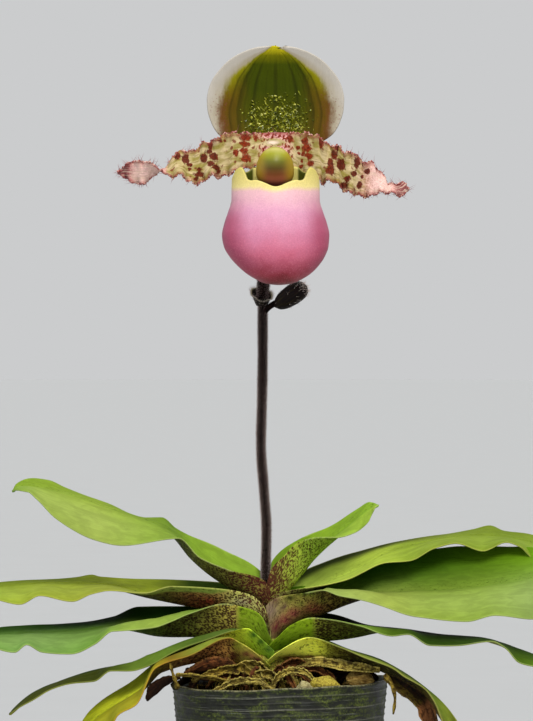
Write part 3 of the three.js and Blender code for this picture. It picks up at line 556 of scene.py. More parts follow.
def make_leaf(
    name, midrib, near, far, depth, width, hug, tones, shade, walls, spots, fade=(-0.06, 0.06), lift=1,
    sheen=0.28, crest=((0, 0),), band=((0, 0),), hem=(170, 186, 110), patches=(), aged=False):
    """One dressed blade in its solid's place; all its lines meet in the midrib's last point."""
    tip = midrib[-1]
    grid, place, out, u = leaf_grid(
        midrib, near + [tip], far + [tip], depth, width + [(tip[0], TIP)], hug, crest)
    thickness = mix(LEAF_THICKNESS, MARGIN_THICKNESS, np.abs(u) ** 2) * mix(0.6, 1, step(out, 2, 16))
    # The colour stops hold painted light and shade, and `lift` brightens the underside as painted light.
    near_tone, wall = coloured(tones, out), coloured(walls, out) * lift
    low, high = (level(end, out) if isinstance(end, list) else end for end in fade)
    # Painted shade: the far half takes its own `shade` colours, darker where it lay in shadow.
    tint = mix(coloured(shade, out), near_tone, step(u, low, high)[..., None])
    # Painted sheen: a whitish sheen laid over the middle of the near half, from 34 mm out.
    painted_sheen = sheen * np.sin(math.pi * np.clip(u, 0, 1)) * step(out, 34, 60)
    tint = mix(tint, linear(SHEEN_TINT), painted_sheen[..., None])
    x, y, z = np.moveaxis(grid, -1, 0)
    ragged = 1 + 0.45 * waves(x, z, 4, 2.4)
    for at, high, wide, tall, colour in patches:
        near_patch = np.exp(-ragged * (((x - at) / wide) ** 2 + ((z - high) / tall) ** 2)) * (u > 0)
        wall = mix(wall, linear(colour), near_patch[..., None])
    strap = level(band, out)
    strap = step(u, 1 - strap - 0.03, 1 - strap + 0.03) * (strap > 0.01)
    wall = mix(wall, near_tone * 1.15, strap[..., None])
    values = {"place": place, "edge": np.abs(u) * step(out, 3, 13), "tint": tint, "wall": wall,
              "spots": level(spots, out) + 0.05 * waves(x, z, 14, 6) - strap,
              "hem": np.broadcast_to(linear(hem), wall.shape)}
    finish, slot = (leaf_aged, "leaf_aged") if aged else (leaf_green, "leaf_green")
    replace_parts(sheet(name + "_blade", grid, thickness, finish, values), name)
    print(name, "points:", grid.shape[0], "by", grid.shape[1])


# %% [markdown]
# ## The top pair
# The youngest leaves stand highest: a long one that arches to the left and a short upright one.
# `midrib`, `near` and `far` are points of x and height, `depth` and `width` go with x, and `hug` is
# the half width of the trough at the stem. Colours stand behind their distance from the stem: `tones`
# for the near half of the upper side, `shade` for its far half and `walls` for the underside. Besides
# the leaf's own colour they hold painted light and shade: darker where the leaf lay in shadow, above
# all on the far halves and undersides, and lighter where it stood in the light. `lift` brightens the
# underside as painted light. `fade` is where, from -1 at the far margin to 1 at the near one, the
# painted shade of the far half gives way, `sheen` is a painted whitish sheen, and `spots` tells how
# thick the freckles stand.

# %% Top leaves
make_leaf(
    "leaf_l1", hug=4.2, sheen=0.06, fade=(-0.4, 0.6), lift=0.8,
    depth=[(-3.3, 0), (-5.4, 0), (-27.8, -1), (-59.2, -4), (-92.9, -6)],
    midrib=[(-3.3, 96.5), (-5.4, 98.6), (-13.8, 103.2), (-22.2, 108.3), (-31, 115.8), (-37.2, 123.2),
            (-41.8, 126.2), (-55.7, 131.2), (-67.7, 135.4), (-79.7, 138.8), (-91.2, 140.3), (-92.9, 139.1)],
    near=[(-3.3, 104.2), (-5.4, 107.4), (-17.7, 111.4), (-27.8, 115.8), (-35.1, 122.5), (-54.3, 120.1),
          (-64.1, 121.9), (-77.6, 129.4), (-84.2, 136.1), (-87.4, 138.7)],
    far=[(-3.3, 104.9), (-5.4, 108.9), (-20.1, 117.8), (-36.5, 124.9), (-41.4, 128.7), (-47.5, 128.8),
         (-60.9, 133.8), (-75.5, 139.4), (-81.4, 142.2), (-86.1, 142.8), (-92.2, 140.8)],
    width=[(-3.3, 11), (-17, 12.5), (-31, 11.5), (-59, 14.5), (-73, 13), (-84, 9), (-89.4, 5.5)],
    tones=[(0, 150, 180, 74), (10, 146, 176, 68), (22, 136, 166, 54), (34, 118, 146, 50), (60, 142, 160, 72),
           (80, 138, 158, 70), (90, 116, 150, 46)],
    shade=[(0, 136, 168, 54), (20, 120, 150, 44), (34, 100, 130, 36), (60, 126, 150, 44), (90, 118, 146, 42)],
    walls=[(0, 136, 112, 56), (10, 138, 134, 58), (24, 120, 128, 54), (34, 74, 96, 34), (46, 84, 118, 40),
           (90, 110, 150, 60)],
    spots=[(0, 0.88), (8, 0.82), (22, 0.77), (32, 0.73), (44, 0.6), (56, 0)])
make_leaf(
    "leaf_r1", hug=4.6, fade=(-0.06, 0.4), lift=1.15, depth=[(-6.1, 1), (-4.7, 1), (7.2, 0), (34.3, -5)],
    midrib=[(-6.1, 95.5), (-4.7, 96.1), (5.8, 107.5), (12.1, 115.4), (26, 127.8), (31.9, 132.9),
            (34.3, 134.1)],
    near=[(-6.1, 101), (-4.7, 105.6), (-3, 111), (1.2, 115.4), (6.3, 120.3), (14.2, 122.6), (19.6, 122.6),
          (25.3, 123.9), (30.9, 127.8), (33.3, 132.9)],
    far=[(-6.1, 103), (-4.7, 107.3), (-2.3, 114.2), (6.1, 120.8), (19, 126.5), (27.9, 132.4), (31.6, 134.5)],
    width=[(-6.1, 11), (3.7, 11.5), (14.2, 10), (22.9, 7.5), (28.9, 5), (32, 2.6)],
    tones=[(0, 120, 154, 46), (20, 126, 158, 50), (38, 138, 166, 58)],
    shade=[(0, 116, 150, 38), (20, 120, 152, 38), (38, 124, 160, 46)],
    walls=[(0, 134, 124, 60), (6, 142, 156, 56), (14, 130, 158, 46), (30, 118, 156, 42), (38, 116, 160, 44)],
    spots=[(0, 0.94), (3, 0.86), (6, 0.76), (10, 0.66), (18, 0.62), (26, 0.56), (34, 0)])

# %% [markdown]
# ## The second pair
# Two long straps, the left one nearly level and the right one arching. `band` is a strip of the upper
# side's colour along the underside's margin, `hem` the colour of the thin margin itself. `patches`
# are single blots on the underside, as (x, height, half width, half height, colour).

# %% Second leaves
make_leaf(
    "leaf_l2", hug=5.6, sheen=0.08, fade=(-0.5, 1.0), lift=1.8,
    depth=[(-3, 0), (-8.9, 0), (-45.4, 2), (-76.7, 4), (-119.1, 8)],
    midrib=[(-3, 81.6), (-6.1, 86.8), (-8.9, 90.6), (-48, 102.2), (-63.5, 105.5), (-80.2, 105.7),
            (-104.5, 103.4), (-119.1, 98.3)],
    near=[(-3, 88.2), (-4, 94.5), (-5.4, 98.3), (-7.5, 100.7), (-10.3, 102.5), (-21.5, 104.8), (-31.5, 105.5),
          (-37.6, 105.6), (-46.8, 103.4), (-58.6, 104.3), (-65.6, 102.9), (-72, 100.4), (-83.3, 102.5),
          (-90.6, 99.2), (-101.7, 101.3), (-111.4, 98.2)],
    far=[(-3, 100.7), (-6.1, 102.8), (-8.9, 103.9), (-22.2, 106.1), (-63.5, 107.5), (-66.3, 108.2),
         (-71.5, 107.4), (-104.5, 104.8), (-113.2, 102.1)],
    width=[(-3, 12.5), (-40, 12.5), (-63, 14), (-84, 14), (-98, 13), (-108, 9.5), (-115, 5)],
    tones=[(0, 108, 126, 46), (26, 124, 144, 60), (40, 146, 158, 70), (56, 150, 160, 52), (84, 144, 160, 48),
           (116, 134, 160, 52)],
    shade=[(0, 40, 62, 14), (28, 62, 84, 22), (34, 130, 146, 42), (42, 168, 184, 52), (52, 166, 180, 50),
           (60, 140, 154, 38), (72, 112, 128, 26), (116, 108, 126, 28)],
    band=[(14, 0), (20, 0.16), (34, 0.24), (46, 0.3), (60, 0.3)],
    walls=[(0, 140, 138, 76), (12, 136, 136, 70), (19, 126, 104, 52), (27, 106, 70, 38), (36, 84, 78, 34),
           (50, 52, 62, 18), (80, 84, 102, 28), (116, 100, 126, 42)],
    patches=[(-25, 100.4, 4.5, 1.8, (146, 62, 40)), (-31, 98.3, 4.5, 1.3, (118, 46, 30)),
             (-13, 100, 3.2, 1.4, (158, 150, 112))],
    hem=(178, 176, 96),
    spots=[(0, 0.8), (10, 0.72), (22, 0.74), (36, 0.7), (50, 0.5), (60, 0)])
make_leaf(
    "leaf_r2", hug=6.2, sheen=0.06,
    fade=([(0, -0.9), (60, -0.9)], [(20, -0.66), (30, -0.5), (46, -0.5), (62, 0.2)]),
    depth=[(-6.1, 1), (-1.2, 1), (17.7, 4), (49.3, 5), (105.6, 7)],
    midrib=[(-5.4, 83.3), (-3.3, 88.2), (-1.2, 93.3), (10.7, 102.6), (27.2, 110.5), (36.9, 115.8),
            (56.3, 121.2), (68.8, 122.5), (88.6, 120), (101.4, 114.2), (105.6, 110.7)],
    near=[(-6.1, 92), (-5.1, 97.3), (-3.3, 100.4), (-1.2, 102.5), (10.9, 105.3), (22.3, 107.5), (36.9, 113.7),
          (45.5, 114.5), (54.2, 119), (61.2, 120.6), (70.8, 117.8), (78.9, 120.9), (83.8, 119.3), (88.6, 115),
          (96.6, 113.8)],
    far=[(-6.1, 101), (-1.2, 103.8), (9.7, 110.4), (27.2, 116.4), (42.3, 120), (62.6, 123.1), (68.8, 124.2),
         (74.7, 125.6), (79.6, 123.7), (88.6, 122.5), (95.2, 120.4)],
    width=[(-6.1, 13), (-1.2, 13), (32, 12.5), (53, 14), (77, 14), (91, 12), (99, 8), (103, 3.9)],
    tones=[(0, 168, 184, 84), (10, 168, 190, 80), (24, 168, 190, 72), (38, 158, 180, 62), (48, 128, 150, 44),
           (60, 122, 142, 42), (84, 114, 136, 38), (110, 134, 160, 52)],
    shade=[(0, 60, 70, 22), (14, 48, 58, 20), (28, 42, 50, 16), (40, 48, 56, 20), (52, 88, 100, 34),
           (64, 108, 126, 40), (84, 104, 124, 34), (110, 124, 146, 38)],
    walls=[(0, 140, 136, 70), (14, 96, 104, 40), (34, 60, 70, 18), (70, 84, 110, 30), (110, 110, 140, 50)],
    hem=(176, 178, 92),
    spots=[(0, 0.8), (12, 0.74), (30, 0.66), (42, 0.3), (50, 0)])

# %% [markdown]
# ## The third pair
# The broadest leaves, which lean towards the viewer. `crest` tells how many millimetres the near
# half rolls upwards, so that its underside shows against the stem.

# %% Third leaves
make_leaf(
    "leaf_l3", hug=7.8, fade=(-0.7, 0.8), lift=1.45, sheen=0.12,
    depth=[(-2.6, 0), (-11.7, 0), (-32.7, -2), (-55.6, -6), (-86.6, -14), (-115.6, -20)],
    midrib=[(-2.6, 79.5), (-6.1, 82.3), (-8.9, 85.1), (-11.7, 86.7), (-23.6, 88.1), (-42.1, 88.7),
            (-54.9, 91.1), (-72.5, 89.9), (-103.6, 88.6), (-115.6, 84.2)],
    near=[(-3, 86.4), (-4.4, 91), (-5.8, 94.5), (-8.6, 96.9), (-11.7, 97.9), (-19.1, 99.4), (-30.9, 96.4),
          (-37.6, 93.6), (-43.6, 91.6), (-50, 90.9), (-57.7, 90.8), (-63.6, 86.5), (-72.2, 82.9),
          (-81.8, 83.9), (-87, 86.6), (-91, 84), (-100.9, 85.8), (-110.5, 83.1)],
    far=[(-3, 97), (-6, 98), (-11.7, 97.6), (-49.4, 97.7), (-58.4, 94.1), (-72.5, 91.9), (-96.8, 91)],
    width=[(-2.6, 13.5), (-11.7, 13.5), (-42, 12), (-77, 14.5), (-91, 14), (-103, 11), (-111, 6.2)],
    tones=[(0, 46, 92, 22), (20, 96, 132, 44), (30, 120, 146, 58), (40, 134, 158, 64), (50, 128, 154, 62),
           (60, 98, 138, 50), (80, 106, 142, 68), (112, 98, 138, 56)],
    shade=[(0, 20, 46, 8), (24, 16, 44, 6), (40, 20, 46, 4), (48, 16, 38, 2), (64, 14, 38, 2),
           (84, 30, 58, 6), (112, 44, 80, 14)],
    crest=[(16, 0), (24, 2.8), (30, 3.8), (36, 4.1), (42, 3.8), (48, 2.4), (54, 1), (60, 0)],
    walls=[(0, 106, 134, 28), (10, 110, 132, 26), (12, 150, 138, 62), (17, 132, 124, 52), (26, 92, 96, 38),
           (34, 66, 74, 28), (46, 60, 84, 26), (112, 80, 120, 50)],
    spots=[(0, 0), (10, 0.1), (12.4, 0.86), (18, 0.78), (26, 0.72), (36, 0.66), (46, 0)])
make_leaf(
    "leaf_r3", hug=7.0, crest=[(15, 0), (20, 3.4), (30, 3.2), (38, 1.8), (48, 0)], lift=1.75,
    fade=(-0.85, 0.6), sheen=0.12,
    depth=[(-6.1, 0), (0.2, 0), (15.2, 0), (35.1, -3), (62.7, -10), (110.6, -20)],
    midrib=[(-4.7, 81.6), (-2.6, 85.1), (0.2, 89.2), (17.3, 97), (27, 100.8), (33, 102.6), (42, 103.6),
            (58.6, 104.4), (78.9, 106.9), (97, 110.3), (110.6, 110.8)],
    near=[(-6.1, 96.5), (-4.7, 98.6), (-2.6, 100.4), (0.2, 101.8), (8.9, 103.3), (15.2, 104.2), (20.5, 102.6),
          (30.9, 100.6), (46.9, 95.8), (64.4, 94.4), (74.1, 96.6), (87.8, 95.3), (102.1, 101),
          (107.2, 105.6)],
    far=[(-6.1, 100), (0.2, 103.9), (15.2, 105.3), (36.8, 114.5), (45.5, 116.7), (66.2, 119), (87.8, 118.9),
         (105.5, 113.9)],
    width=[(-6.1, 14), (0.2, 14), (15, 12.5), (28, 13), (46, 16.5), (63, 18.5), (84, 17.5), (98, 13),
           (107, 7)],
    tones=[(0, 132, 146, 70), (22, 142, 160, 80), (40, 140, 156, 68), (56, 126, 148, 54), (74, 124, 148, 56),
           (90, 120, 143, 70), (112, 104, 146, 46)],
    shade=[(0, 64, 96, 10), (26, 98, 140, 14), (34, 50, 94, 5), (42, 38, 79, 1), (52, 47, 87, 2),
           (62, 54, 89, 4), (74, 70, 104, 8), (90, 92, 130, 16), (112, 92, 134, 22)],
    walls=[(0, 116, 102, 70), (6, 124, 118, 54), (14, 102, 96, 38), (20, 98, 84, 36), (30, 60, 58, 18),
           (40, 44, 50, 14), (60, 80, 110, 30), (112, 100, 150, 40)],
    patches=[(-1.4, 91.1, 1.9, 2.3, (
        120, 34, 56)), (1.9, 93.7, 2.5, 1.9, (160, 66, 74)), (5, 96.2, 2.6, 1.8, (168, 84, 78)),
        (-3, 97.2, 2.4, 2.6, (138, 116, 100)), (12, 97.9, 4.6, 2.2, (150, 84, 60)),
        (9.5, 103.4, 4.6, 1.4, (40, 66, 8)), (3.5, 101.6, 2.2, 1.2, (54, 62, 16)),
        (-1.5, 100.6, 1.2, 1.4, (84, 44, 50)), (7.2, 99.6, 1.8, 1.1, (132, 134, 56)),
        (14.6, 100.6, 1.8, 1, (158, 158, 62)), (1.6, 98.4, 1.4, 1.1, (92, 62, 62))],
    spots=[(0, 0.4), (6, 0.5), (14, 0.62), (20, 0.74), (30, 0.8), (40, 0.6), (50, 0)])

# %% [markdown]
# ## The fourth pair
# Older leaves that sweep down and forward, so more of their undersides and dark folds shows.

# %% Fourth leaves
make_leaf(
    "leaf_l4", hug=9.4, sheen=0, lift=1.8,
    depth=[(-1.9, -2), (-10.3, -2), (-27.7, -8), (-51.8, -16), (-75.6, -26), (-92.4, -32)],
    midrib=[(-1.9, 76.3), (-4.7, 77.7), (-7.5, 79.5), (-10.3, 81.3), (-23.5, 83.3), (-45.6, 79), (-58, 78),
            (-64.8, 76.7), (-84.7, 69.6), (-92.4, 63.5)],
    near=[(-1.6, 83), (-5.1, 86.4), (-8.2, 89.2), (-11, 91.1), (-16.2, 90.4), (-25.2, 87.6), (-31.5, 85.5),
          (-37.5, 83.1), (-45.3, 79.1), (-51.2, 77.5), (-58, 77.9), (-63.5, 74.5), (-71, 73.9), (-78, 72),
          (-85, 68)],
    far=[(-2, 91), (-10.3, 91.4), (-16.2, 87.6), (-24, 85.4), (-38, 81.6), (-46.5, 78.8), (-55, 77.4),
         (-64.8, 75.9), (-73.5, 73.4), (-81, 71.2), (-88, 67.6)],
    width=[(-1.9, 13.5), (-10.3, 13.5), (-23.6, 11.5), (-59, 13), (-73, 12), (-84, 8), (-90.1, 4)],
    tones=[(0, 92, 134, 46), (12, 74, 94, 36), (26, 72, 94, 32), (36, 86, 112, 36), (46, 84, 106, 34),
           (57, 50, 58, 12), (70, 54, 60, 8), (90, 60, 66, 22)],
    shade=[(0, 24, 48, 10), (30, 24, 46, 8), (50, 34, 52, 8), (70, 44, 58, 10), (90, 60, 72, 22)],
    crest=[(6, 0), (12, 3.6), (20, 3.3), (34, 3.2), (42, 3.4), (48, 1.8), (55, 0.4), (62, 0)],
    walls=[(0, 120, 154, 42), (6, 152, 180, 40), (12, 190, 200, 54), (17, 164, 150, 50), (24, 108, 110, 34),
           (34, 52, 64, 16), (60, 90, 90, 30), (90, 110, 110, 40)],
    patches=[(-9, 89, 1.7, 1.5, (50, 100, 30)), (-6.4, 86.6, 1.7, 1.3, (44, 92, 30)),
             (-3.6, 84, 1.6, 1.2, (60, 110, 40))],
    hem=(150, 158, 80),
    spots=[(0, 0), (12, 0.1), (16, 0.6), (24, 0.6), (34, 0)])
make_leaf(
    "leaf_r4", hug=8.6, fade=(0.0, 1.0), lift=1.8, sheen=0,
    depth=[(-6.1, -2), (-0.5, -2), (17.6, -5), (41.8, -12), (69.1, -22), (105.4, -34)],
    midrib=[(-6.1, 78.4), (-3.3, 80.5), (-0.5, 83), (8.9, 85.9), (27, 88.6), (37.7, 90.7), (58.2, 88.9),
            (68.4, 88.5), (81.6, 84.8), (93.4, 80.1), (105.4, 72.2)],
    near=[(-4.7, 84), (-2.6, 86.4), (-0.5, 88.2), (3.7, 92), (11.7, 94.9), (28, 92.4), (38.4, 89.2),
          (44.2, 90), (51.7, 86.3), (61.6, 86.7), (72.5, 88.2), (77.2, 85.9), (81.6, 81.2), (91, 79),
          (101.1, 72.7)],
    far=[(-6, 92), (-0.5, 92.8), (7.2, 96), (16.6, 95.4), (32.2, 91.2), (44, 90), (58.2, 87.8), (73.1, 86.8),
         (85, 83.2), (100.1, 77.4)],
    width=[(-6.1, 13), (-0.5, 13), (28, 12), (49, 13.5), (74, 13), (89, 11.5), (99, 8)],
    tones=[(0, 80, 112, 34), (20, 96, 128, 42), (34, 96, 126, 40), (42, 66, 92, 16), (52, 34, 58, 2),
           (78, 40, 64, 2), (90, 70, 98, 16), (104, 96, 132, 34)],
    shade=[(0, 8, 14, 2), (40, 8, 14, 1), (60, 14, 24, 2), (80, 22, 36, 4), (104, 56, 88, 20)],
    crest=[(14.5, 0), (19, 0.9), (30, 1.2), (39, 1.5), (45, 1.2), (52, 0.5), (58, 0)],
    walls=[(0, 104, 132, 22), (14.6, 110, 136, 22), (16, 120, 124, 44), (22, 86, 90, 32), (30, 60, 70, 20),
           (44, 50, 64, 18), (104, 110, 110, 50)],
    spots=[(0, 0), (14.2, 0.2), (16.4, 0.86), (24, 0.78), (34, 0.66), (44, 0.2), (50, 0)])

# %% [markdown]
# ## The lowest pair
# The oldest leaves hang over the pot's rim and are turning yellow, so they count as aged.

# %% Lowest leaves
make_leaf(
    "leaf_l5", aged=True, hug=9.8, sheen=0.04,
    depth=[(-3.3, -4), (-10.3, -4), (-27.6, -12), (-44.8, -20), (-61.7, -28), (-72.5, -33)],
    midrib=[(-3.3, 73.5), (-6.8, 75.6), (-10.3, 77.4), (-16.2, 78.9), (-23.5, 80.3), (-40.7, 77.2),
            (-47.2, 71), (-61.7, 62.1), (-69.8, 53.8), (-72.5, 49.2)],
    near=[(-3.3, 78.4), (-6.8, 81.6), (-10.3, 84.4), (-13.7, 86.4), (-17.3, 87.9), (-30.7, 82.7),
          (-42.7, 78.5), (-49.2, 66.4), (-55.3, 63.1), (-59, 56.1), (-66.8, 50.6)],
    far=[(-3.3, 86), (-10.3, 89.4), (-17.3, 88.9), (-30.7, 83.8), (-41.4, 80), (-50.6, 73), (-65.4, 63.3),
         (-70.5, 54.9)],
    width=[(-3.3, 13.5), (-10.3, 13.5), (-23, 11), (-41.5, 11), (-56, 12.5), (-64.6, 10), (-69.8, 6)],
    tones=[(0, 120, 122, 40), (14, 118, 124, 42), (24, 114, 128, 44), (34, 118, 98, 28), (42, 154, 148, 34),
           (60, 138, 140, 24), (72, 140, 142, 34)],
    shade=[(0, 110, 110, 30), (36, 104, 112, 24), (44, 200, 212, 54), (54, 196, 206, 44), (62, 150, 158, 28),
           (72, 130, 138, 30)],
    crest=[(9, 0), (14, 3.2), (20, 3.6), (25, 3.4), (34, 2.3), (40, 1.8), (46, 0.4), (50, 0)],
    walls=[(0, 178, 186, 66), (9, 212, 200, 84), (13, 214, 160, 82), (20, 158, 106, 56), (30, 112, 74, 38),
           (38, 96, 78, 26), (56, 110, 112, 24), (72, 140, 140, 40)],
    patches=[(-11.7, 82.6, 1.7, 1.1, (130, 48, 58)), (-7.6, 80.5, 1.8, 1.1, (126, 48, 60)),
             (-9.7, 81.8, 1.2, 1, (196, 140, 90)), (-14.3, 85.6, 2.6, 2.2, (172, 178, 58)),
             (-16, 81.6, 2.2, 1.4, (92, 44, 34))],
    hem=(182, 130, 54),
    spots=[(0, 0.3), (9, 0.4), (13, 0.72), (24, 0.7), (34, 0.5), (42, 0)])
make_leaf(
    "leaf_r5", aged=True, hug=10.2, sheen=0, lift=2.1,
    depth=[(-6.8, -3), (-1.2, -3), (17.5, -10), (41.6, -20), (55.1, -26), (66.6, -31)],
    midrib=[(-6.8, 75.6), (-4, 77.4), (-1.2, 79.6), (1.9, 80.4), (25.1, 79.6), (43.3, 73.9), (51.1, 67.6),
            (57.1, 59.3), (66.6, 43.2)],
    near=[(-5.4, 78.4), (-3.3, 80.9), (-1.2, 82.6), (10.3, 88.2), (21.1, 85), (28.2, 82.3), (33.6, 80.6),
          (38.9, 78.4), (42.4, 76), (46, 74.2), (49.5, 72), (53.1, 67), (56, 59.9), (64.2, 45.1)],
    far=[(-6, 82), (-1.2, 83.8), (5.4, 87.8), (10.3, 88.2), (17, 86), (25.1, 83), (35, 80), (40.9, 77),
         (50.7, 70.6), (60.9, 60.4), (65.6, 48.6)],
    width=[(-6.8, 13.5), (-1.2, 13.5), (11, 11), (42, 11.5), (54, 10.5), (61.4, 7), (65, 3.4)],
    tones=[(0, 104, 128, 40), (14, 96, 108, 38), (24, 88, 100, 38), (34, 110, 124, 46), (44, 102, 114, 38),
           (56, 100, 108, 36), (70, 140, 144, 54)],
    shade=[(0, 70, 92, 24), (20, 112, 140, 54), (40, 112, 140, 56), (56, 104, 124, 42), (70, 124, 130, 44)],
    crest=[(8, 0), (13, 1.8), (20, 1.9), (28, 1.5), (36, 1.3), (45, 0.9), (51, 0.5), (57, 0.3), (64, 0)],
    walls=[(0, 198, 206, 86), (8, 200, 208, 78), (17, 180, 186, 56), (22, 84, 82, 24), (29, 28, 26, 7),
           (52, 34, 31, 10), (70, 96, 80, 40)],
    patches=[(3.4, 81, 4, 0.9, (150, 84, 62)), (10.6, 81.3, 5, 0.8, (140, 74, 52))],
    hem=(164, 166, 90),
    spots=[(0, 0.1), (14, 0.2), (21, 0.6), (30, 0.6), (40, 0)])

# %% [markdown]
# ## Things that repeat: hairs, warts and bark chips
# The stalk of this orchid is velvety, the petals carry bristles, the back sepal has shining warts
# and the pot is full of bark chips. Placing thousands of them by hand is hopeless, so a small
# geometry node tree does it: points are strewn where a surface says it is hairy, a cone or a lump is
# set on each, turned along the surface's own direction with a random lean, and the result is made
# into one plain mesh.

# %% A tree of nodes that strews small shapes


class Strewing:
    """The node tree, built once for each shape, with named inputs for its sizes."""

    SIZES = (("Density", "NodeSocketFloat"), ("Length", "NodeSocketFloat"), ("Thickness", "NodeSocketFloat"),
             ("Lean", "NodeSocketFloat"), ("Smallest", "NodeSocketVector"), ("Largest", "NodeSocketVector"),
             ("Seed", "NodeSocketInt"), ("Finish", "NodeSocketMaterial"))

    def __init__(self, name, shape):
        self.tree = bpy.data.node_groups.new(name, "GeometryNodeTree")
        face = self.tree.interface
        face.new_socket(name="Ground", in_out="INPUT", socket_type="NodeSocketGeometry")
        for label, kind in self.SIZES:
            face.new_socket(name=label, in_out="INPUT", socket_type=kind)
        face.new_socket(name="Grown", in_out="OUTPUT", socket_type="NodeSocketGeometry")
        self.given = self.tree.nodes.new("NodeGroupInput").outputs
        hairy = self.add("GeometryNodeInputNamedAttribute", {"Name": "hairy"}, data_type="FLOAT")
        outward = self.add("GeometryNodeInputNamedAttribute", {"Name": "outward"}, data_type="FLOAT_VECTOR")
        density = self.add("ShaderNodeMath", {0: hairy, 1: self.given["Density"]}, operation="MULTIPLY")
        points = self.add("GeometryNodeDistributePointsOnFaces",
                          {"Mesh": self.given["Ground"], "Density": density, "Seed": self.given["Seed"]})
        jitter = self.add("FunctionNodeRandomValue", {
            0: (-1, -1, -1), 1: (1, 1, 1), "Seed": self.given["Seed"]}, data_type="FLOAT_VECTOR")
        leaning = self.add("ShaderNodeVectorMath", {0: jitter, "Scale": self.given["Lean"]},
                           operation="SCALE")
        aim = self.add("ShaderNodeVectorMath", {0: outward, 1: leaning}, operation="ADD")
        turn = self.add("FunctionNodeAlignRotationToVector", {"Vector": aim}, axis="Z")
        size = self.add("FunctionNodeRandomValue", {0: self.given[
            "Smallest"], 1: self.given["Largest"], "Seed": self.given["Seed"]}, data_type="FLOAT_VECTOR")
        if shape == "hair":
            seedling = self.add("GeometryNodeMeshCone", {
                "Vertices": 3, "Radius Top": 0.0, "Radius Bottom": self.given["Thickness"],
                "Depth": self.given["Length"]})
        else:
            seedling = self.add(
                "GeometryNodeMeshIcoSphere", {"Radius": self.given["Length"], "Subdivisions": 2})
        placed = self.add("GeometryNodeInstanceOnPoints",
                          {"Points": points, "Instance": seedling, "Rotation": turn, "Scale": size})
        real = self.add("GeometryNodeRealizeInstances", {"Geometry": placed})
        painted = self.add("GeometryNodeSetMaterial", {"Geometry": real, "Material": self.given["Finish"]})
        self.tree.links.new(painted, self.tree.nodes.new("NodeGroupOutput").inputs[0])

    add = Finish.add


PER_SQUARE_MM = 1e6  # the trees count shapes per square metre


def evaluated(holder):
    """The mesh that an object's modifiers make of it."""
    return bpy.data.meshes.new_from_object(holder.evaluated_get(bpy.context.evaluated_depsgraph_get()))


def strew(name, ground, tree, finish, slot, seed, density, length, thickness=0.05, lean=0.4,
          smallest=(0.6, 0.6, 0.6), largest=(1.1, 1.1, 1.1)):
    """Grows small shapes on a piece, so many to a square millimetre, as one plain mesh."""
    carrier = placed(name + "_carrier", ground.data)
    modifier = carrier.modifiers.new("growth", "NODES")
    modifier.node_group = tree.tree
    given = {"Density": density * PER_SQUARE_MM, "Length": length * MM, "Thickness": thickness * MM,
             "Lean": lean, "Smallest": smallest, "Largest": largest, "Seed": seed, "Finish": finish}
    for item in tree.tree.interface.items_tree:
        if item.in_out == "INPUT" and item.name in given:
            modifier[item.identifier] = given[item.name]
    carrier.update_tag()
    grown = evaluated(carrier)
    bpy.data.objects.remove(carrier)
    grown.name = name
    made = placed(name, grown)
    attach(made, "root")
    print(name, "faces:", len(grown.polygons))


hairs = Strewing("hair_growth", "hair")
lumps = Strewing("lump_growth", "lump")

# %% [markdown]
# ## Stem base
# Under the leaves the stem is a short stump wrapped in the fibres of old leaf bases: a net of
# yellow-olive strands over brown hollows. The stump is a stack of rings whose surface is pushed in
# and out by upright ridges, and upright streaks of noise drive the colour.

# %% Stem base and old fibres


def fibre_material():
    f = Finish("stem_fibres", roughness=0.8, specular_ior_level=0.1)
    place = f.millimetres()
    strands = f.stretched(place, (1.1, 1.1, 0.28), 4, 0.65, 1.6)
    patches = f.noise(place, 0.22, 3)
    colour = f.ramp(strands, [
        (0.34, (70, 46, 20)), (0.46, (170, 146, 60)), (0.58, (226, 218, 102)), (0.75, (238, 232, 146))])
    colour = f.blend(f.range(patches, 0.42, 0.66), colour,
                     f.ramp(strands, [(0.35, (80, 56, 22)), (0.6, (150, 174, 60))]))
    return f.done(colour, None, f.relief(strands, 0.9, 1.0))


stem_fibres = fibre_material()
STUMP_SIDES = 96
STUMP = {"x": STEM["x"] - 1.6, "y": STEM["y"] - 0.5, "flat": 0.82, "bottom": 68, "top": 87, "hairy_below": 80}
stump_radius = curve([(68, 10.4), (71, 9.6), (75, 8.8), (79, 8.2), (83, 6.4), (87, 3.4)])


def stump():
    z, a = np.meshgrid(np.linspace(STUMP["bottom"], STUMP["top"], 60), round_angles(STUMP_SIDES),
                       indexing="ij")
    ridges = 0.45 * np.abs(np.sin(9 * a + 1.6 * np.sin(z * 0.5) + 2 * waves(a * 6, z, 5, 7)))
    radius = stump_radius(z) + ridges + 0.5 * waves(a * 8, z, 8, 4)
    x = STUMP["x"] + radius * np.cos(a)
    y = STUMP["y"] + STUMP["flat"] * radius * np.sin(a)
    hairy = {"hairy": 1 * (z < STUMP["hairy_below"])}
    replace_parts(stack("stem_stump", np.stack([x, y, z], -1), stem_fibres, hairy), "crown")


def bundle(name, bars, finish):
    """Many thin bars of equal make as one piece."""
    rows, sides = bars[0].shape[:2]
    points = np.vstack([np.vstack([bar.reshape(-1, 3), bar[0].mean(0), bar[-1].mean(0)]) for bar in bars])
    faces = np.vstack([capped(rows, sides) + i * (rows * sides + 2) for i in range(len(bars))])
    piece(name, points, faces, finish)


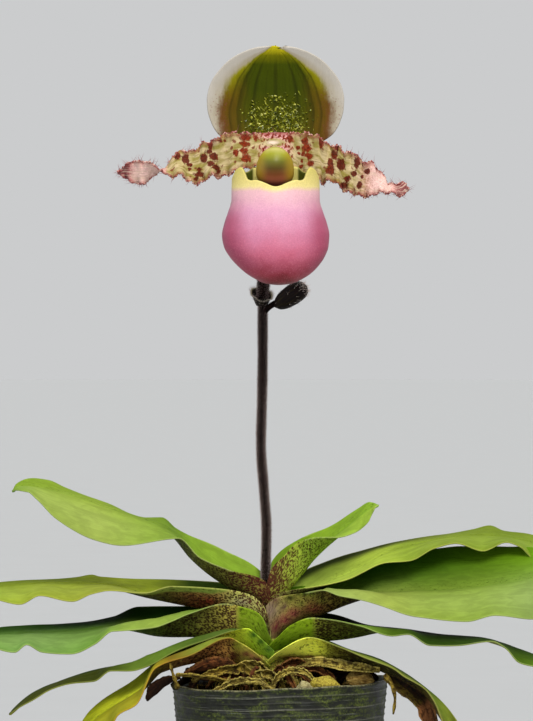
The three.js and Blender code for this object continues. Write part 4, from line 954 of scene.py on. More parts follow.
def old_fibres(name, count, thick, seed, wander, finish, bottom=70, top=81):
    """Strands that climb the stump, swaying to and fro, so that they cross into a net."""
    random = np.random.default_rng(seed)
    bars = []
    for _ in range(count):
        a0, sway, phase = random.uniform(0, 6.28), random.uniform(-wander, wander), random.uniform(0, 6.28)
        z = np.linspace(bottom, random.uniform(top - 5, top), 12)
        a = a0 + sway * (z - bottom) / 10 + 0.12 * np.sin(z * 1.3 + phase)
        r = stump_radius(z) + 0.55 + 0.3 * np.sin(z * 0.9 + phase)
        path = np.stack([STUMP["x"] + r * np.cos(a), STUMP["y"] + STUMP["flat"] * r * np.sin(a), z], -1)
        size = thick * random.uniform(0.6, 1.3)
        bars.append(bar_rings(path, lambda t: size * (1 - 0.5 * t), 5, 26)[0])
    bundle(name, bars, finish)


stump()
fibre_pale = speckled(
    "fibre_pale", (0.5, 3), [(0.35, (132, 112, 38)), (0.5, (196, 180, 78)), (0.65, (220, 212, 124))],
    roughness=0.75)
old_fibres("old_fibres_fine", 90, 0.22, 3, 0.8, fibre_pale)
old_fibres("old_fibres_thick", 46, 0.34, 4, 0.7, stem_fibres)
print("stump and its fibres made")

# %% [markdown]
# ## Dried leaves, straps and straws
# Old leaves dry to curled, papery strips. Each one follows a short path and rolls as it goes, and
# its surface is cockled. They lie on the bark or hang over the pot's rim.

# %% Papery finish


def dry_material(name, dark, light, edge_tint, far_tint=None):
    """Papery tissue; a `far_tint` colours its outer end and paints shade into the roll of its upper side."""
    f = Finish(name, roughness=0.8, specular_ior_level=0.12)
    place, edge = f.vector("place"), f.number("edge")
    grain = f.stretched(place, (0.2, 1.5, 1), 4, 0.65, 0.8)
    blots = f.stretched(place, (0.45, 0.7, 1), 4, 0.65)
    crumbs = f.noise(place, 1.9, 4, 0.75)
    colour = f.blend(f.range(grain, 0.32, 0.68), dark, light)
    if far_tint:
        reached = f.part(place, 0)
        colour = f.blend(f.range(reached, 14.5, 16.5), colour, far_tint)
        # Painted shade: a near-black band along one side of the first 14 to 18 mm, where the leaf lies in
        # shadow.
        rolled = f.times(f.range(f.part(place, 1), -0.4, 1.2), f.range(reached, 18, 14))
        colour = f.blend(rolled, colour, (4, 3, 1))
    colour = f.blend(f.times(f.range(blots, 0.46, 0.6), 0.8), colour, (50, 30, 14))
    broad = f.noise(f.millimetres(), 0.16, 2)
    colour = f.shade(f.shade(colour, f.range(broad, 0.35, 0.65), 0.6, 1.3), crumbs, 0.55, 1.45)
    worn = f.times(f.range(edge, 0.7, 0.98), f.range(crumbs, 0.42, 0.58, 0, 0.5))
    colour = f.blend(worn, colour, edge_tint)
    pits = f.noise(f.millimetres(), 0.62, 3, 0.6)
    colour = f.blend(f.range(pits, 0.53, 0.64, 0, 0.75), colour, (34, 20, 10))
    height = f.plus(grain, f.times(crumbs, 0.8))
    return f.done(colour, f.range(blots, 0.3, 0.7, 0.65, 0.92), f.relief(height, 0.6, 1.0))


dry_khaki = dry_material("dry_khaki", (104, 86, 36), (200, 182, 84), (208, 194, 110))
dry_russet = dry_material("dry_russet", (70, 34, 18), (122, 74, 38), (158, 118, 60))
dry_hollow = dry_material("dry_hollow", (50, 40, 12), (104, 88, 28), (120, 104, 50), (142, 92, 54))
dry_yellow = dry_material("dry_yellow", (98, 78, 25), (162, 141, 54), (196, 176, 86))
dry_umber = dry_material("dry_umber", (18, 7, 3), (40, 20, 8), (70, 44, 20))
print("papery finishes: 5")


# %% [markdown]
# ## Dried leaves
# A strip is a sheet that follows a path, turns on itself and has torn, cockled edges. The large ones
# were solids before, so they replace those.

# %% Strips and dried leaves


def strip(name, path, width, roll, finish, curl=0.5, cockle=0.35, rows=84, seed=3, torn=1.0):
    """A papery strip along a path; `width` is its half width and `roll` its turn in degrees."""
    points, direction, s = along(path, rows)
    t = s / s[-1]
    half = curve(list(zip(np.linspace(0, 1, len(width)), width)))(t)
    turn = np.radians(curve(list(zip(np.linspace(0, 1, len(roll)), roll)))(t))
    side = unit(np.cross((0, 0, 1), direction))
    up = np.cross(direction, side)
    u = np.linspace(-1, 1, 15)
    a = turn[:, None] + curl * u
    ragged = 0.26 * waves(
        s[:, None], 4 * np.sign(u), seed, 6) + 0.24 * waves(s[:, None], 4 * np.sign(u), seed + 5, 1.6)
    reach = half[:, None] * u * (1 + torn * ragged)
    bumps = cockle * (waves(s[:, None], 5 * u, seed + 1, 7) + 0.45
                      * waves(s[:, None], half[:, None] * u, seed + 9, 1.5))
    grid = (points[:, None] + side[:, None] * (reach * np.cos(a))[..., None]
            + up[:, None] * (reach * np.sin(a) + bumps)[..., None])
    place = np.stack(np.broadcast_arrays(s[:, None], half[:, None] * u, 0 * u), -1)
    return sheet(name, grid, 0.45, finish,
                 {"place": place, "edge": np.broadcast_to(np.abs(u), reach.shape)})


DRY_LEAVES = {
    "dry_right": ([(5, -11, 78.8), (14, -15, 79.4), (25, -18.5, 78.0), (34.5, -21, 77.4)],
                  [1.4, 2.0, 2.1, 1.0], [70, 60, 60, 70], dry_khaki, "dry_leaf"),
    "dry_hanging": ([
        (36.4, -24.5, 75.2), (41, -25.5, 72.4), (45.6, -26.5, 69.2), (49.8, -27.5, 65), (51.4, -28.4, 60.5),
        (52.6, -29, 55.5)], [1.2, 2.7, 3.0, 3.3, 3.0, 1.4], [60, 68, 62, 58, 60, 50], dry_hollow, "dry_leaf"),
    "dry_left": ([(-14, -12, 75.5), (-20, -14, 78.3), (-27, -16, 77.3), (-33, -18, 75.6)],
                 [1.6, 3.2, 3.4, 1.2], [30, 60, 45, 20], dry_russet, "dry_leaf"),
    "dry_strap": ([(-16.5, -22, 69.4), (-19, -22.5, 73.2), (-27, -24, 74.9), (-35.5, -26, 76)],
                  [1, 1.7, 1.8, 1.1], [20, 15, 10, 20], dry_yellow, "dry_leaf"),
    "dry_dark": ([(-34.5, -21.5, 74.3), (-38.6, -23.5, 73.2), (-42.6, -25, 70.6), (-45.6, -26, 67.4)],
                 [1.2, 2.6, 2.9, 1], [20, 45, 60, 40], dry_umber, "dry_dark"),
}
for strip_name, (path, width, roll, finish, slot) in DRY_LEAVES.items():
    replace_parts(strip(strip_name + "_leaf", path, width, roll, finish, torn=0.35,
                      seed=3 + len(strip_name)), strip_name)

print("dried leaves:", len(DRY_LEAVES))

# %% [markdown]
# ## Loops, scraps and shreds
# Twisted bands of old sheath lie over the bark round the stem, and finer shreds spill from the stump
# on all sides. The bands that face the viewer are listed one by one and the shreds placed by seeded chance.

# %% Loops and scraps
LOOPS = {
    "loop_left": ([(-30, -22, 73.4), (
        -23, -21, 75.8), (-17.5, -20, 77.6), (-13.5, -19, 77.9), (-10, -18.5, 75.2), (-6.5, -18, 72.4),
        (-3, -17, 70.6)], [0.8, 1.6, 2.0, 2.1, 1.8, 1.4, 0.6], [10, 40, 70, 95, 60, 30, 20], dry_yellow),
    "loop_low": ([(-24, -25, 69.5), (-17, -25, 72.6), (-11, -24.5, 73.2), (-6, -23.5, 72), (-1, -23, 69.8)],
                 [0.6, 1.5, 1.8, 1.5, 0.6], [30, 60, 40, 20, 30], dry_khaki),
    "loop_right": (
        [(-2.5, -19, 70), (-0.4, -20, 74.4), (3.4, -20.5, 76.6), (8, -21, 76.3), (11.5, -21.5, 74.2),
         (13.5, -22, 70.5)], [0.7, 1.6, 1.7, 1.5, 1.3, 0.5], [60, 80, 60, 50, 70, 60], dry_khaki),
    "loop_back": ([(3, -13, 72), (6, -13.5, 75.8), (11, -14, 76.6), (17, -15, 74.6), (20, -15.5, 70)],
                  [0.6, 1.6, 1.8, 1.5, 0.5], [40, 60, 45, 60, 40], dry_russet),
    "scrap_left": ([(-17, -10, 71), (-14.6, -12, 76), (-10.5, -13.6, 78.6), (-6.5, -14, 77.4),
                    (-4, -13.4, 73)], [0.9, 2.6, 3.0, 2.4, 0.9], [50, 80, 100, 80, 60], dry_khaki),
    "scrap_right": ([(-3, -13.6, 72.6), (0, -13.6, 77), (4, -12.6, 79.2), (9.4, -11.4, 77.8),
                     (13, -10.6, 73)], [0.9, 2.4, 2.8, 2.2, 0.8], [60, 85, 95, 80, 50], dry_russet),
    "scrap_mid": ([(-12, -16, 70), (-8.5, -17, 74.6), (-4.5, -16.6, 76), (-0.5, -16, 73.6), (1.5, -15.6, 70)],
                  [0.8, 2.0, 2.4, 1.8, 0.8], [40, 70, 90, 110, 90], dry_khaki),
    "scrap_far_left": ([(-31, -12, 70), (-27, -13, 74.4), (-22, -13.5, 74.2), (-18, -14, 70.4)],
                       [1, 2.4, 2.2, 0.8], [50, 70, 50, 40], dry_umber),
    "scrap_far_right": ([(20, -9, 70.6), (24, -11, 75), (29, -13, 75.4), (33, -15, 71.5)],
                        [1, 2.6, 2.4, 0.8], [60, 50, 40, 30], dry_umber),
    "scrap_back_right": ([(7, 2, 71.5), (15, 1, 77), (25, -1, 77.2), (34, -4, 72.5)],
                         [1.6, 4.4, 4.6, 1.6], [80, 95, 85, 75], dry_umber),
    "scrap_back_left": ([(-11, 4, 70), (-18, 3, 74.6), (-27, 1, 75.2), (-35, -3, 71)],
                        [1.6, 3.6, 3.8, 1.4], [95, 80, 95, 100], dry_umber),
    "scrap_brown": ([(-25, -17.5, 70.6), (-21, -18.5, 74.2), (-15.5, -19, 74.4), (-11, -19, 71)],
                    [0.9, 2.2, 2.4, 0.9], [20, 35, 50, 60], dry_russet),
}
for loop_name, (path, width, roll, finish) in LOOPS.items():
    strip(loop_name, path, width, roll, finish, curl=0.9, cockle=0.6, seed=len(loop_name))

print("loops and scraps:", len(LOOPS))

# %% [markdown]
# ## Shreds and straws
# The shreds are short strips that start at the stump and end on the bark. Two stiff straws hook over
# the rim: round bars, slightly flattened, with a few swellings.

# %% Shreds and straws
SHREDS = 26
LEFT_OUT = (8, 9)  # these two would stand straight up in front
random = np.random.default_rng(12)
for k in range(SHREDS):
    a = math.radians(-165 + 150 * k / 17 if k < 18 else 20 + 140 * (k - 18) / 7)
    ring, lift = random.uniform(15, 30), random.uniform(2.5, 6)
    bend = random.uniform(-0.35, 0.35)
    path = [(STEM["x"] + r * math.cos(a + bend * t), STEM["y"] - 4 + 0.85 * r * math.sin(a + bend * t), z)
            for t, r, z in ((0, 8, 72 + lift * 0.5), (0.4, mix(8, ring, 0.4), 72 + lift), (1, ring, 69))]
    width, turns = random.uniform(0.5, 1.5), list(random.uniform(10, 90, 3))
    if k in LEFT_OUT:
        continue
    strip(f"shred_{k:02d}", path, [0.4, width, 0.3], turns,
          (dry_khaki, dry_russet, dry_umber)[k % 3], curl=0.8, cockle=0.7, rows=40, seed=k)

STRAWS = {
    "straw_left": [(-35.2, -24, 71.5), (-35.6, -26, 73.4), (-36.8, -27.5, 76.8), (-37.6, -28.4, 80.2)],
    "straw_right": [(36.2, -25.4, 76.2), (38.4, -27, 73), (39.6, -27.6, 68), (39, -27.4, 62.6)],
}
for straw_name, path in STRAWS.items():
    rings, s, a = bar_rings(path, lambda t: 0.85 - 0.45 * t + 0.12 * math.sin(17 * t), 12, 40, flat=0.6)
    place = np.stack(np.broadcast_arrays(s[:, None], a[None] * 0.8, 0), -1)
    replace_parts(stack(straw_name + "_stem", rings, dry_yellow, {"place": place, "edge": 0.5}),
                straw_name)
print("shreds and straws:", SHREDS - len(LEFT_OUT) + len(STRAWS))

# %% [markdown]
# ## Nursery pot
# The pot is thin soft plastic, formed with shallow ribs under the rim. It sways a little, so its rim
# isn't a perfect circle. After years of watering it is dull, scratched, and green with algae. Its rib
# crests and the top of its rim are lightened, partly as wear and partly as painted highlights, and
# its inside is darkened as painted shade.

# %% Pot sizes and plastic
POT = {"height": 72, "rim": 37.6, "base": 31, "wall": 1, "floor": 1.8,
       "ribs": [69, 66.8, 64.6, 62.4, 60.2, 58], "rib_pitch": 2.2, "rib_depth": 0.24, "sway": 1.1}
DRAIN = {"count": 6, "radius": 3, "circle": 20, "sides": 24}
POT_SIDES = 200
FLOOR_RINGS = (0.01, 8, 16, 20, 24, 28)  # radii, so that the floor has rings for the drain holes


def pot_radius(z):
    return mix(POT["base"], POT["rim"], z / POT["height"])


def softened(r, a, z):
    """Radius and height of the soft wall, which sways more towards the rim."""
    soft = np.maximum(0, z / POT["height"] - 0.6) / 0.4
    out = r + soft * (0.25 * np.sin(3 * a + 1) + 0.2 * np.sin(5 * a)) + 0.08 * soft * waves(a * 30, z, 4, 9)
    return out, z + soft**2 * (POT["sway"] * np.cos(a) + 0.25 * np.sin(4 * a + 0.6) + 0.12 * np.sin(11 * a))


def pot_material():
    f = Finish("pot_plastic", specular_ior_level=0.2)
    place = f.millimetres()
    grime = f.noise(f.scaled(place, (1, 1, 1.6)), 0.16, 5, 0.65)
    algae = f.noise(f.scaled(place, (0.5, 0.5, 1.1)), 0.3, 5, 0.7, 0.5)
    dots = f.noise(place, 1.3, 3, 0.7)
    scratch = f.stretched(place, (0.05, 0.05, 2.6), 3, 0.7)
    height = f.part(place, 2)
    colour = f.ramp(grime, [(0.3, (15, 16, 13)), (0.55, (33, 35, 30)), (0.75, (58, 60, 50))])
    # Painted shade: the inside of the wall, the lining, is darkened to 0.3, as it lies in the pot's shadow.
    colour = f.shade(colour, f.number("lining"), 1, 0.3)
    green = f.times(f.range(algae, 0.42, 0.62), f.range(dots, 0.3, 0.6))
    green = f.times(green, f.range(height, 20, 66))
    colour = f.blend(f.times(green, 0.85), colour, f.ramp(dots, [(0.4, (56, 68, 26)), (0.7, (98, 108, 46))]))
    # Wear and painted highlight: the rib crests are lightened, more on every second rib.
    worn = f.times(f.range(f.number("crest"), 0.45, 0.9), f.range(dots, 0.3, 0.6, 0.35, 0.9))
    broad = f.range(f.noise(place, 0.035, 2), 0.4, 0.6, 0.25, 0.8)
    colour = f.blend(f.times(worn, broad), colour, (112, 113, 100))
    # Wear and painted highlight: a pale broken line along the top edge of the rim.
    colour = f.blend(f.times(f.number("lip"), f.range(dots, 0.4, 0.56, 0.1, 0.8)), colour, (134, 130, 96))
    colour = f.blend(f.times(f.range(scratch, 0.62, 0.72), 0.45), colour, (138, 142, 138))
    roughness = f.plus(f.range(grime, 0.35, 0.7, 0.38, 0.62), f.times(green, 0.25))
    return f.done(colour, roughness, f.relief(f.plus(algae, f.times(scratch, 0.4)), 0.22, 0.7))


print("pot rim:", 2 * POT["rim"], "mm across")


# %% [markdown]
# ## The pot's wall
# The outline runs up the outside over the ribs, across the rolled rim and down the inside to the
# floor. Turned round the middle it gives one closed wall, from which round bars cut the drain holes.

# %% Pot wall and drain holes


def pot_outline():
    """The wall as (radius, height), up the outside and down the inside, and how many of its points come
    before the inside.
    """
    top, pitch, depth = POT["height"], POT["rib_pitch"], POT["rib_depth"]
    outside = [(0, -0.15), (0.6, 0)]
    for z in reversed(POT["ribs"]):
        outside += [(z - pitch / 2 + pitch * p / (2 * math.pi), depth * (0.5 - 0.5 * math.cos(p)) ** 5)
                    for p in np.linspace(0, 2 * math.pi, 17)[:-1]]
    outside += [(top - 1.3, 0), (top - 0.95, 0.3), (top - 0.6, 0.42), (top - 0.2, 0.36), (top, 0.1)]
    inside = [(top, -0.5), (top - 0.4, -0.9)]
    inside += [(z, -POT["wall"]) for z in np.linspace(top - 1.4, POT["floor"] + 0.6, 24)]
    profile = [(r, 0) for r in FLOOR_RINGS] + [(pot_radius(z) + out, z) for z, out in outside + inside]
    profile += [(r, POT["floor"]) for r in reversed(FLOOR_RINGS)]
    return profile, len(FLOOR_RINGS) + len(outside)


def rib_crest(r, z):
    """How far a point stands out on a rib, lightened more on every second one, as wear and as a painted
    highlight.
    """
    if not 55 < z < POT["height"] - 1.3:
        return 0
    nearest = min(range(len(POT["ribs"])), key=lambda k: abs(POT["ribs"][k] - z))
    return (r - pot_radius(z)) / POT["rib_depth"] * (1 if nearest % 2 == 0 else 0.35)


def drill_bits():
    """Round bars that stand where the floor's drain holes come."""
    angle, sides = round_angles(DRAIN["sides"]), DRAIN["sides"]
    points, faces = [], []
    for k in range(DRAIN["count"]):
        turn = 2 * math.pi * k / DRAIN["count"]
        n = len(points)
        for z in (-2, 2 * POT["floor"]):
            points += [((DRAIN["circle"] * math.cos(turn) + DRAIN["radius"] * math.cos(b)) * MM,
                        (DRAIN["circle"] * math.sin(turn) + DRAIN["radius"] * math.sin(b)) * MM, z * MM)
                       for b in angle]
        faces += [[n + i, n + (i + 1) % sides, n + sides + (i + 1) % sides, n + sides + i]
                  for i in range(sides)]
        faces += [[n + i for i in reversed(range(sides))], [n + sides + i for i in range(sides)]]
    mesh = bpy.data.meshes.new("drills")
    mesh.from_pydata(points, [], faces)
    return placed("drill", mesh)


def pot():
    profile, turned_over = pot_outline()
    r, z = np.array(profile).T
    a = round_angles(POT_SIDES)
    out, height = softened(r[:, None], a[None], z[:, None])
    # Wear and painted highlight on the rib crests, carried by the crest value.
    wear_and_highlight = np.array([rib_crest(*point) for point in profile])
    values = {"crest": np.clip(wear_and_highlight[:, None] + 0.25 * waves(a * 20, z[:, None] * 3, 6, 9), 0, 1),
              "lining": (np.arange(len(profile)) > turned_over)[:, None],
              "lip": 1 * (z > POT["height"] - 0.3)[:, None]}
    wall = stack("pot_wall", np.stack([out * np.cos(a), out * np.sin(a), height], -1), pot_material(),
                 values)
    drill = drill_bits()
    cut = wall.modifiers.new("drain_holes", "BOOLEAN")
    cut.operation, cut.object, cut.solver = "DIFFERENCE", drill, "EXACT"
    drilled = evaluated(wall)
    wall.modifiers.remove(cut)
    bpy.data.objects.remove(drill)
    wall.data = drilled
    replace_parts(wall, "pot")
    print("pot faces:", len(drilled.polygons))


pot()

# %% [markdown]
# ## Bark mix
# The pot is filled with chips of bark, some fresh and yellow, some dark and wet. One recipe makes the
# finishes: a grain that runs along the chip, with brown blots in it, and painted shade that turns the
# chips near black on the left, where they lie in shadow.

# %% Bark finishes


def bark_material(name, stops):
    f = Finish(name, roughness=0.95, specular_ior_level=0.02)
    place = f.millimetres()
    grain = f.stretched(place, (0.5, 0.9, 1.4), 5, 0.65, 0.8)
    blots = f.noise(place, 0.19, 2)
    colour = f.ramp(grain, stops)
    colour = f.blend(f.times(f.range(blots, 0.48, 0.62), 0.6), colour,
                     f.ramp(grain, [(0.35, (20, 12, 8)), (0.7, (82, 56, 34))]))
    # Painted shade: chips darken from x = -13 mm to near black past -20 mm, as they lie in shadow there.
    left_shade = f.range(f.part(place, 0), -13, -20, 0, 0.85)
    colour = f.blend(left_shade, colour, (4, 2, 1))
    return f.done(colour, None, f.relief(grain, 0.9, 1.0))


bark_dark = bark_material("bark_dark", [(0.3, (8, 4, 2)), (0.5, (28, 18, 10)), (0.7, (62, 43, 22))])
bark_pale = bark_material(
    "bark_pale", [(0.3, (120, 108, 66)), (0.5, (176, 168, 118)), (0.7, (212, 206, 164))])
bark_fresh = bark_material("bark_fresh", [(0.3, (92, 66, 34)), (0.5, (142, 116, 60)), (0.7, (182, 160, 92))])
bark_yellow = speckled(
    "bark_yellow", (1.5, 4, 0.65), [(0.32, (96, 80, 18)), (0.5, (160, 142, 30)), (0.68, (198, 186, 70))], 0.7,
    roughness=0.75)
print("bark finishes: 4")

# %% [markdown]
# ## The mix and its chips
# A plug with a bumpy top fills the pot. Chips lie on it, flattened lumps strewn by the node tree, each
# turned and stretched differently, and threads of moss. A few large lumps with knocked-off facets are
# set along the rim one by one.

# %% Bark plug, chips and lumps
PLUG_SIDES = 90
PLUG = {"foot": 2.4, "base": 2.2, "shoulder": 64.5}  # mm


def mix_top(x, y):
    near = np.exp(-((x - STEM["x"]) ** 2 + (y - STEM["y"]) ** 2) / 260)
    bumps = 1.1 * (np.sin(x * 0.55 + y * 0.3) * np.cos(y * 0.47 - x * 0.2))
    return 67.5 + 4 * near + 2.4 * step(y, 4, 26) + bumps


def bark_plug():
    """The mix as one body: a tapered side and a bumpy top of ever smaller rings."""
    a = round_angles(PLUG_SIDES)
    low = pot_radius(PLUG["foot"]) - 2.4
    wide = pot_radius(66) - 2
    rings = [np.stack([r * np.cos(a), r * np.sin(a), np.full(PLUG_SIDES, z)], -1)
             for r, z in ((low, PLUG["base"]), (wide, PLUG["shoulder"]))]
    for part in (1, 0.93, 0.85, 0.76, 0.66, 0.56, 0.46, 0.36, 0.26, 0.16, 0.07):
        x, y = wide * part * np.cos(a), wide * part * np.sin(a)
        rings.append(np.stack([x, y, mix_top(x, y) - 0.6 + 0.5 * waves(x, y, 11, 3)], -1))
    top = np.stack(rings)
    hairy = step(top[..., 2], 65, 65.5) * (np.hypot(top[..., 0], top[..., 1]) < 0.9 * wide)
    up = np.broadcast_to([0.0, 0.0, 1.0], top.shape)
    made = stack("bark_plug", top, bark_dark, {"hairy": hairy, "outward": up})
    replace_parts(made, "potting_mix")
    return made


plug = bark_plug()
for chip_name, finish, seed, density in (
    ("bark_chips_dark", bark_dark, 4, 0.035), ("bark_chips_fresh", bark_fresh, 9, 0.03)):
    strew(chip_name, plug, lumps, finish, "potting_bark", seed, density=density, length=2.5,
          lean=0.9, smallest=(0.7, 0.5, 0.25), largest=(1.7, 1.2, 0.6))
strew("moss_threads", plug, hairs, dry_yellow, "potting_bark", 21, density=0.25, length=5,
      thickness=0.16, lean=1.6, smallest=(1, 1, 0.4), largest=(1.4, 1.4, 1.2))


def globe(rows, cols, gap=0.05):
    """Angles down and round a ball that stays open by `gap` at its poles, and its directions."""
    t, a = np.meshgrid(np.linspace(gap, math.pi - gap, rows), round_angles(cols), indexing="ij")
    return t, a, np.stack([np.sin(t) * np.cos(a), np.sin(t) * np.sin(a), np.cos(t)], -1)


def bark_lump(name, centre, size, finish, seed):
    """One large chip: a rounded block with facets knocked into it."""
    t, a, d = globe(24, 40, 0.06)
    random = np.random.default_rng(seed)
    cuts = unit(random.normal(size=(16, 3)))
    facet = np.min(random.uniform(0.74, 1.0, 16) / np.maximum(d @ cuts.T, 0.2), axis=-1)
    r = np.minimum(facet, 1.15) * (1 + 0.05 * waves(t * 9, a * 6, seed, 3))
    stack(name, np.array(centre) + d * r[..., None] * np.array(size), finish)


for lump, centre, size, finish, seed in (
    ("yellow", (15.8, -28.5, 72.6), (4.9, 3.8, 4), bark_yellow, 2),
    ("brown", (27.4, -17, 73.4), (4.6, 3.2, 3.2), bark_fresh, 5),
    ("left", (-18, 20, 71), (4, 3.4, 2.6), bark_fresh, 6),
    ("pale", (8.6, -30, 71.8), (3, 2.4, 2.4), bark_pale, 8),
    ("rim", (-36.2, -15, 71.6), (1.8, 1.6, 1.5), bark_pale, 3)):
    bark_lump("bark_lump_" + lump, centre, size, finish, seed)
print("bark pieces laid")

# %% [markdown]
# ## Flower stalk
# The stalk is as thick as a pencil lead, dark maroon, and furred all over with short pale hairs. The
# fur is what makes its outline look silver, so the hairs are real geometry, grown from the stalk's
# surface by the node tree.

# %% Stalk and ovary
SCAPE_RADIUS = 1.5
SCAPE_PATH = [(-4.7, 0, 99), (-4.8, 0.3, 110), (-4.6, 1, 125), (-5.4, 2, 138), (-6.5, 3, 155), (-6.1, 4, 172),
              (-5.9, 5, 188), (-5.9, 6, 205)]
FLOWER = (-1.4, -3, 253.5)
OVARY_PATH = [(-5.9, 6.1, 206), (-5.6, 7.2, 212), (-4.6, 8.6, 222), (-3.4, 8.6, 232), (-2.2, 6.6, 243),
              (-1.6, 3, 251), FLOWER]


def stalk_material():
    f = Finish("scape_brown", roughness=0.7, specular_ior_level=0.05)
    place = f.millimetres()
    streaks = f.stretched(place, (1.6, 1.6, 0.09), 3, 0.6)
    specks = f.noise(place, 2.2, 2)
    colour = f.ramp(streaks, [(0.32, (4, 1, 1)), (0.5, (12, 3, 3)), (0.72, (30, 13, 10))])
    colour = f.blend(f.times(f.range(specks, 0.6, 0.74), 0.2), colour, (70, 66, 36))
    return f.done(colour, None, f.relief(specks, 0.12, 0.8))


def hair_material(name, root, tip):
    f = Finish(name, roughness=0.5)
    return f.done(f.blend(f.noise(f.millimetres(), 0.8, 2), root, tip))


scape_brown = stalk_material()
hair_pale = hair_material("hair_pale", (168, 148, 142), (226, 218, 210))
hair_grey = hair_material("hair_grey", (112, 96, 94), (176, 158, 152))


def outward_of(rings):
    return unit(rings - rings.mean(axis=1, keepdims=True))


def furred(rings):
    """The values of a body that is hairy all over."""
    return {"hairy": 1, "outward": outward_of(rings)}


stalk_rings, _, _ = bar_rings(SCAPE_PATH, lambda t: SCAPE_RADIUS * (1 - 0.02 * math.sin(40 * t)), 24, 120)
stalk = stack("stalk", stalk_rings, scape_brown, furred(stalk_rings))
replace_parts(stalk, "scape")
FUR = {"thickness": 0.045, "smallest": (0.9, 0.9, 0.8), "largest": (1.2, 1.2, 1.1)}
strew("stalk_hairs", stalk, hairs, hair_grey, "scape_brown", 5, density=20, length=0.68, lean=0.16, **FUR)

# The fork that carries the second bud, and the long ribbed ovary behind the pouch.
fork_rings, _, _ = bar_rings([(-5.8, 5.6, 200.8), (-3.6, 4.6, 203), (-1.4, 3.9, 204.4)], 1.05, 16, 16)
stack("bud_stalk", fork_rings, scape_brown)
ovary_rings, _, ovary_a = bar_rings(
    OVARY_PATH, lambda t: 1.45 + 0.95 * math.sin(math.pi * min(t * 0.75 + 0.12, 1)), 36, 90)
ovary_centres = ovary_rings.mean(axis=1, keepdims=True)
ribbed = 1 + 0.07 * np.cos(6 * ovary_a)[None, :, None]
ovary_rings = ovary_centres + (ovary_rings - ovary_centres) * ribbed
ovary = stack("ovary_tube", ovary_rings, scape_brown, furred(ovary_rings))
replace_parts(ovary, "ovary")
strew("ovary_hairs", ovary, hairs, hair_grey, "scape_brown", 6, density=12, length=0.7, lean=0.2, **FUR)


# The knob on which the sepals, petals and pouch all stand.
KNOB_RADIUS = 3.0
stack("flower_knob", np.array(FLOWER) + globe(20, 32)[2] * KNOB_RADIUS, scape_brown)
print("stalk, ovary and knob made")

# %% [markdown]
# ## Bracts and the second bud
# A small dark bract clasps the foot of the ovary, and beside it a young bud is wrapped in its own
# folded bract. Both are nearly black, with pale silky hairs along their margins.

# %% Bract and bud


def bract_material():
    f = Finish("bract_brown", specular_ior_level=0.1)
    place, edge = f.vector("place"), f.number("edge")
    veins = f.stretched(place, (0.12, 1.4, 1), 3, 0.6)
    colour = f.ramp(veins,
                    [(0.35, (8, 3, 4)), (0.52, (20, 8, 9)), (0.66, (36, 30, 10)), (0.78, (74, 76, 28))])
    colour = f.blend(f.times(f.range(edge, 0.93, 1.0), 0.8), colour, (176, 172, 136))
    return f.done(colour, f.range(veins, 0.3, 0.7, 0.4, 0.6), f.relief(veins, 0.3, 0.8))


bract_brown = bract_material()


BRACT_SIDES = 64
BRACT_ROWS = 22  # on each side of its wall
BRACT_WALL = 0.5  # mm
BUD_SIDES = 40


def bract():
    """A cup cut on the slant, low in front, so that its dark hollow shows."""
    a = round_angles(BRACT_SIDES)
    brim = 207.6 - 0.7 * np.cos(a) + 2.5 * np.sin(a) + 0.25 * np.sin(5 * a)
    radius = curve([(0, 1.9), (0.15, 2.4), (0.4, 2.9), (0.75, 3.5), (0.92, 4.1), (1, 4.35)])
    rows = []
    climb, descent = np.linspace(0, 1, BRACT_ROWS), np.linspace(1, 0, BRACT_ROWS)
    for t, shrink in [(t, 0) for t in climb] + [(t, BRACT_WALL) for t in descent]:
        r = radius(t) - shrink
        rows.append(np.stack([-6.3 + 0.9 * r * np.cos(a), 6 + r * np.sin(a), mix(203.4, brim, t)], -1))
    rings = np.stack(rows)
    edge = np.concatenate([climb, descent])[:, None] * np.ones(BRACT_SIDES)
    place = np.stack(np.broadcast_arrays(rings[..., 2], a[None] * 4, 0), -1)
    made = stack("bract_collar", rings, bract_brown, {
        "place": place, "edge": edge, "hairy": 0.1 + step(edge, 0.86, 1),
        "outward": unit(outward_of(rings) + (0, 0, 0.7))}, hollow=True)
    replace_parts(made, "bract_cup")
    strew("bract_hairs", made, hairs, hair_pale, "bract_brown", 7, density=8, length=1.5,
          thickness=0.06, lean=0.6)


def second_bud():
    """A plump bar that swells and ends in a point, with the fold where its bract closes."""
    path = [(-1.8, 3.9, 203.4), (0.2, 3.4, 204.4), (3, 2.2, 206.2), (6, 1, 208.2), (9.4, -0.4, 210.2)]
    size = curve([(0, 0.7), (0.12, 2.4), (0.35, 3.5), (0.6, 3.8), (0.8, 3.5), (0.93, 2.5), (1, 0.7)])
    rings, s, a = bar_rings(path, lambda t: float(size(t)), BUD_SIDES, 60, flat=0.9)
    centre = rings.mean(axis=1, keepdims=True)
    fold = 1 + 0.08 * np.exp(-((np.mod(a - 1.1, 2 * math.pi) - math.pi) / 0.18) ** 2) - 0.05 * np.cos(2 * a)
    rings = centre + (rings - centre) * fold[None, :, None]
    place = np.stack(np.broadcast_arrays(s[:, None], a[None] * 3.5, 0), -1)
    tip = step(s / s[-1], 0.84, 0.98)[:, None] * np.ones(BUD_SIDES)
    made = stack("bud_bract", rings, bract_brown, {
        "place": place, "edge": tip * 0.9, "hairy": 0.05 + tip,
        "outward": unit(outward_of(rings) + (0.8, 0, 0.5))})
    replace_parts(made, "bud")
    strew("bud_hairs", made, hairs, hair_pale, "bract_brown", 8, density=4, length=1.7,
          thickness=0.06, lean=0.6)


bract()
second_bud()
print("bract and second bud made")

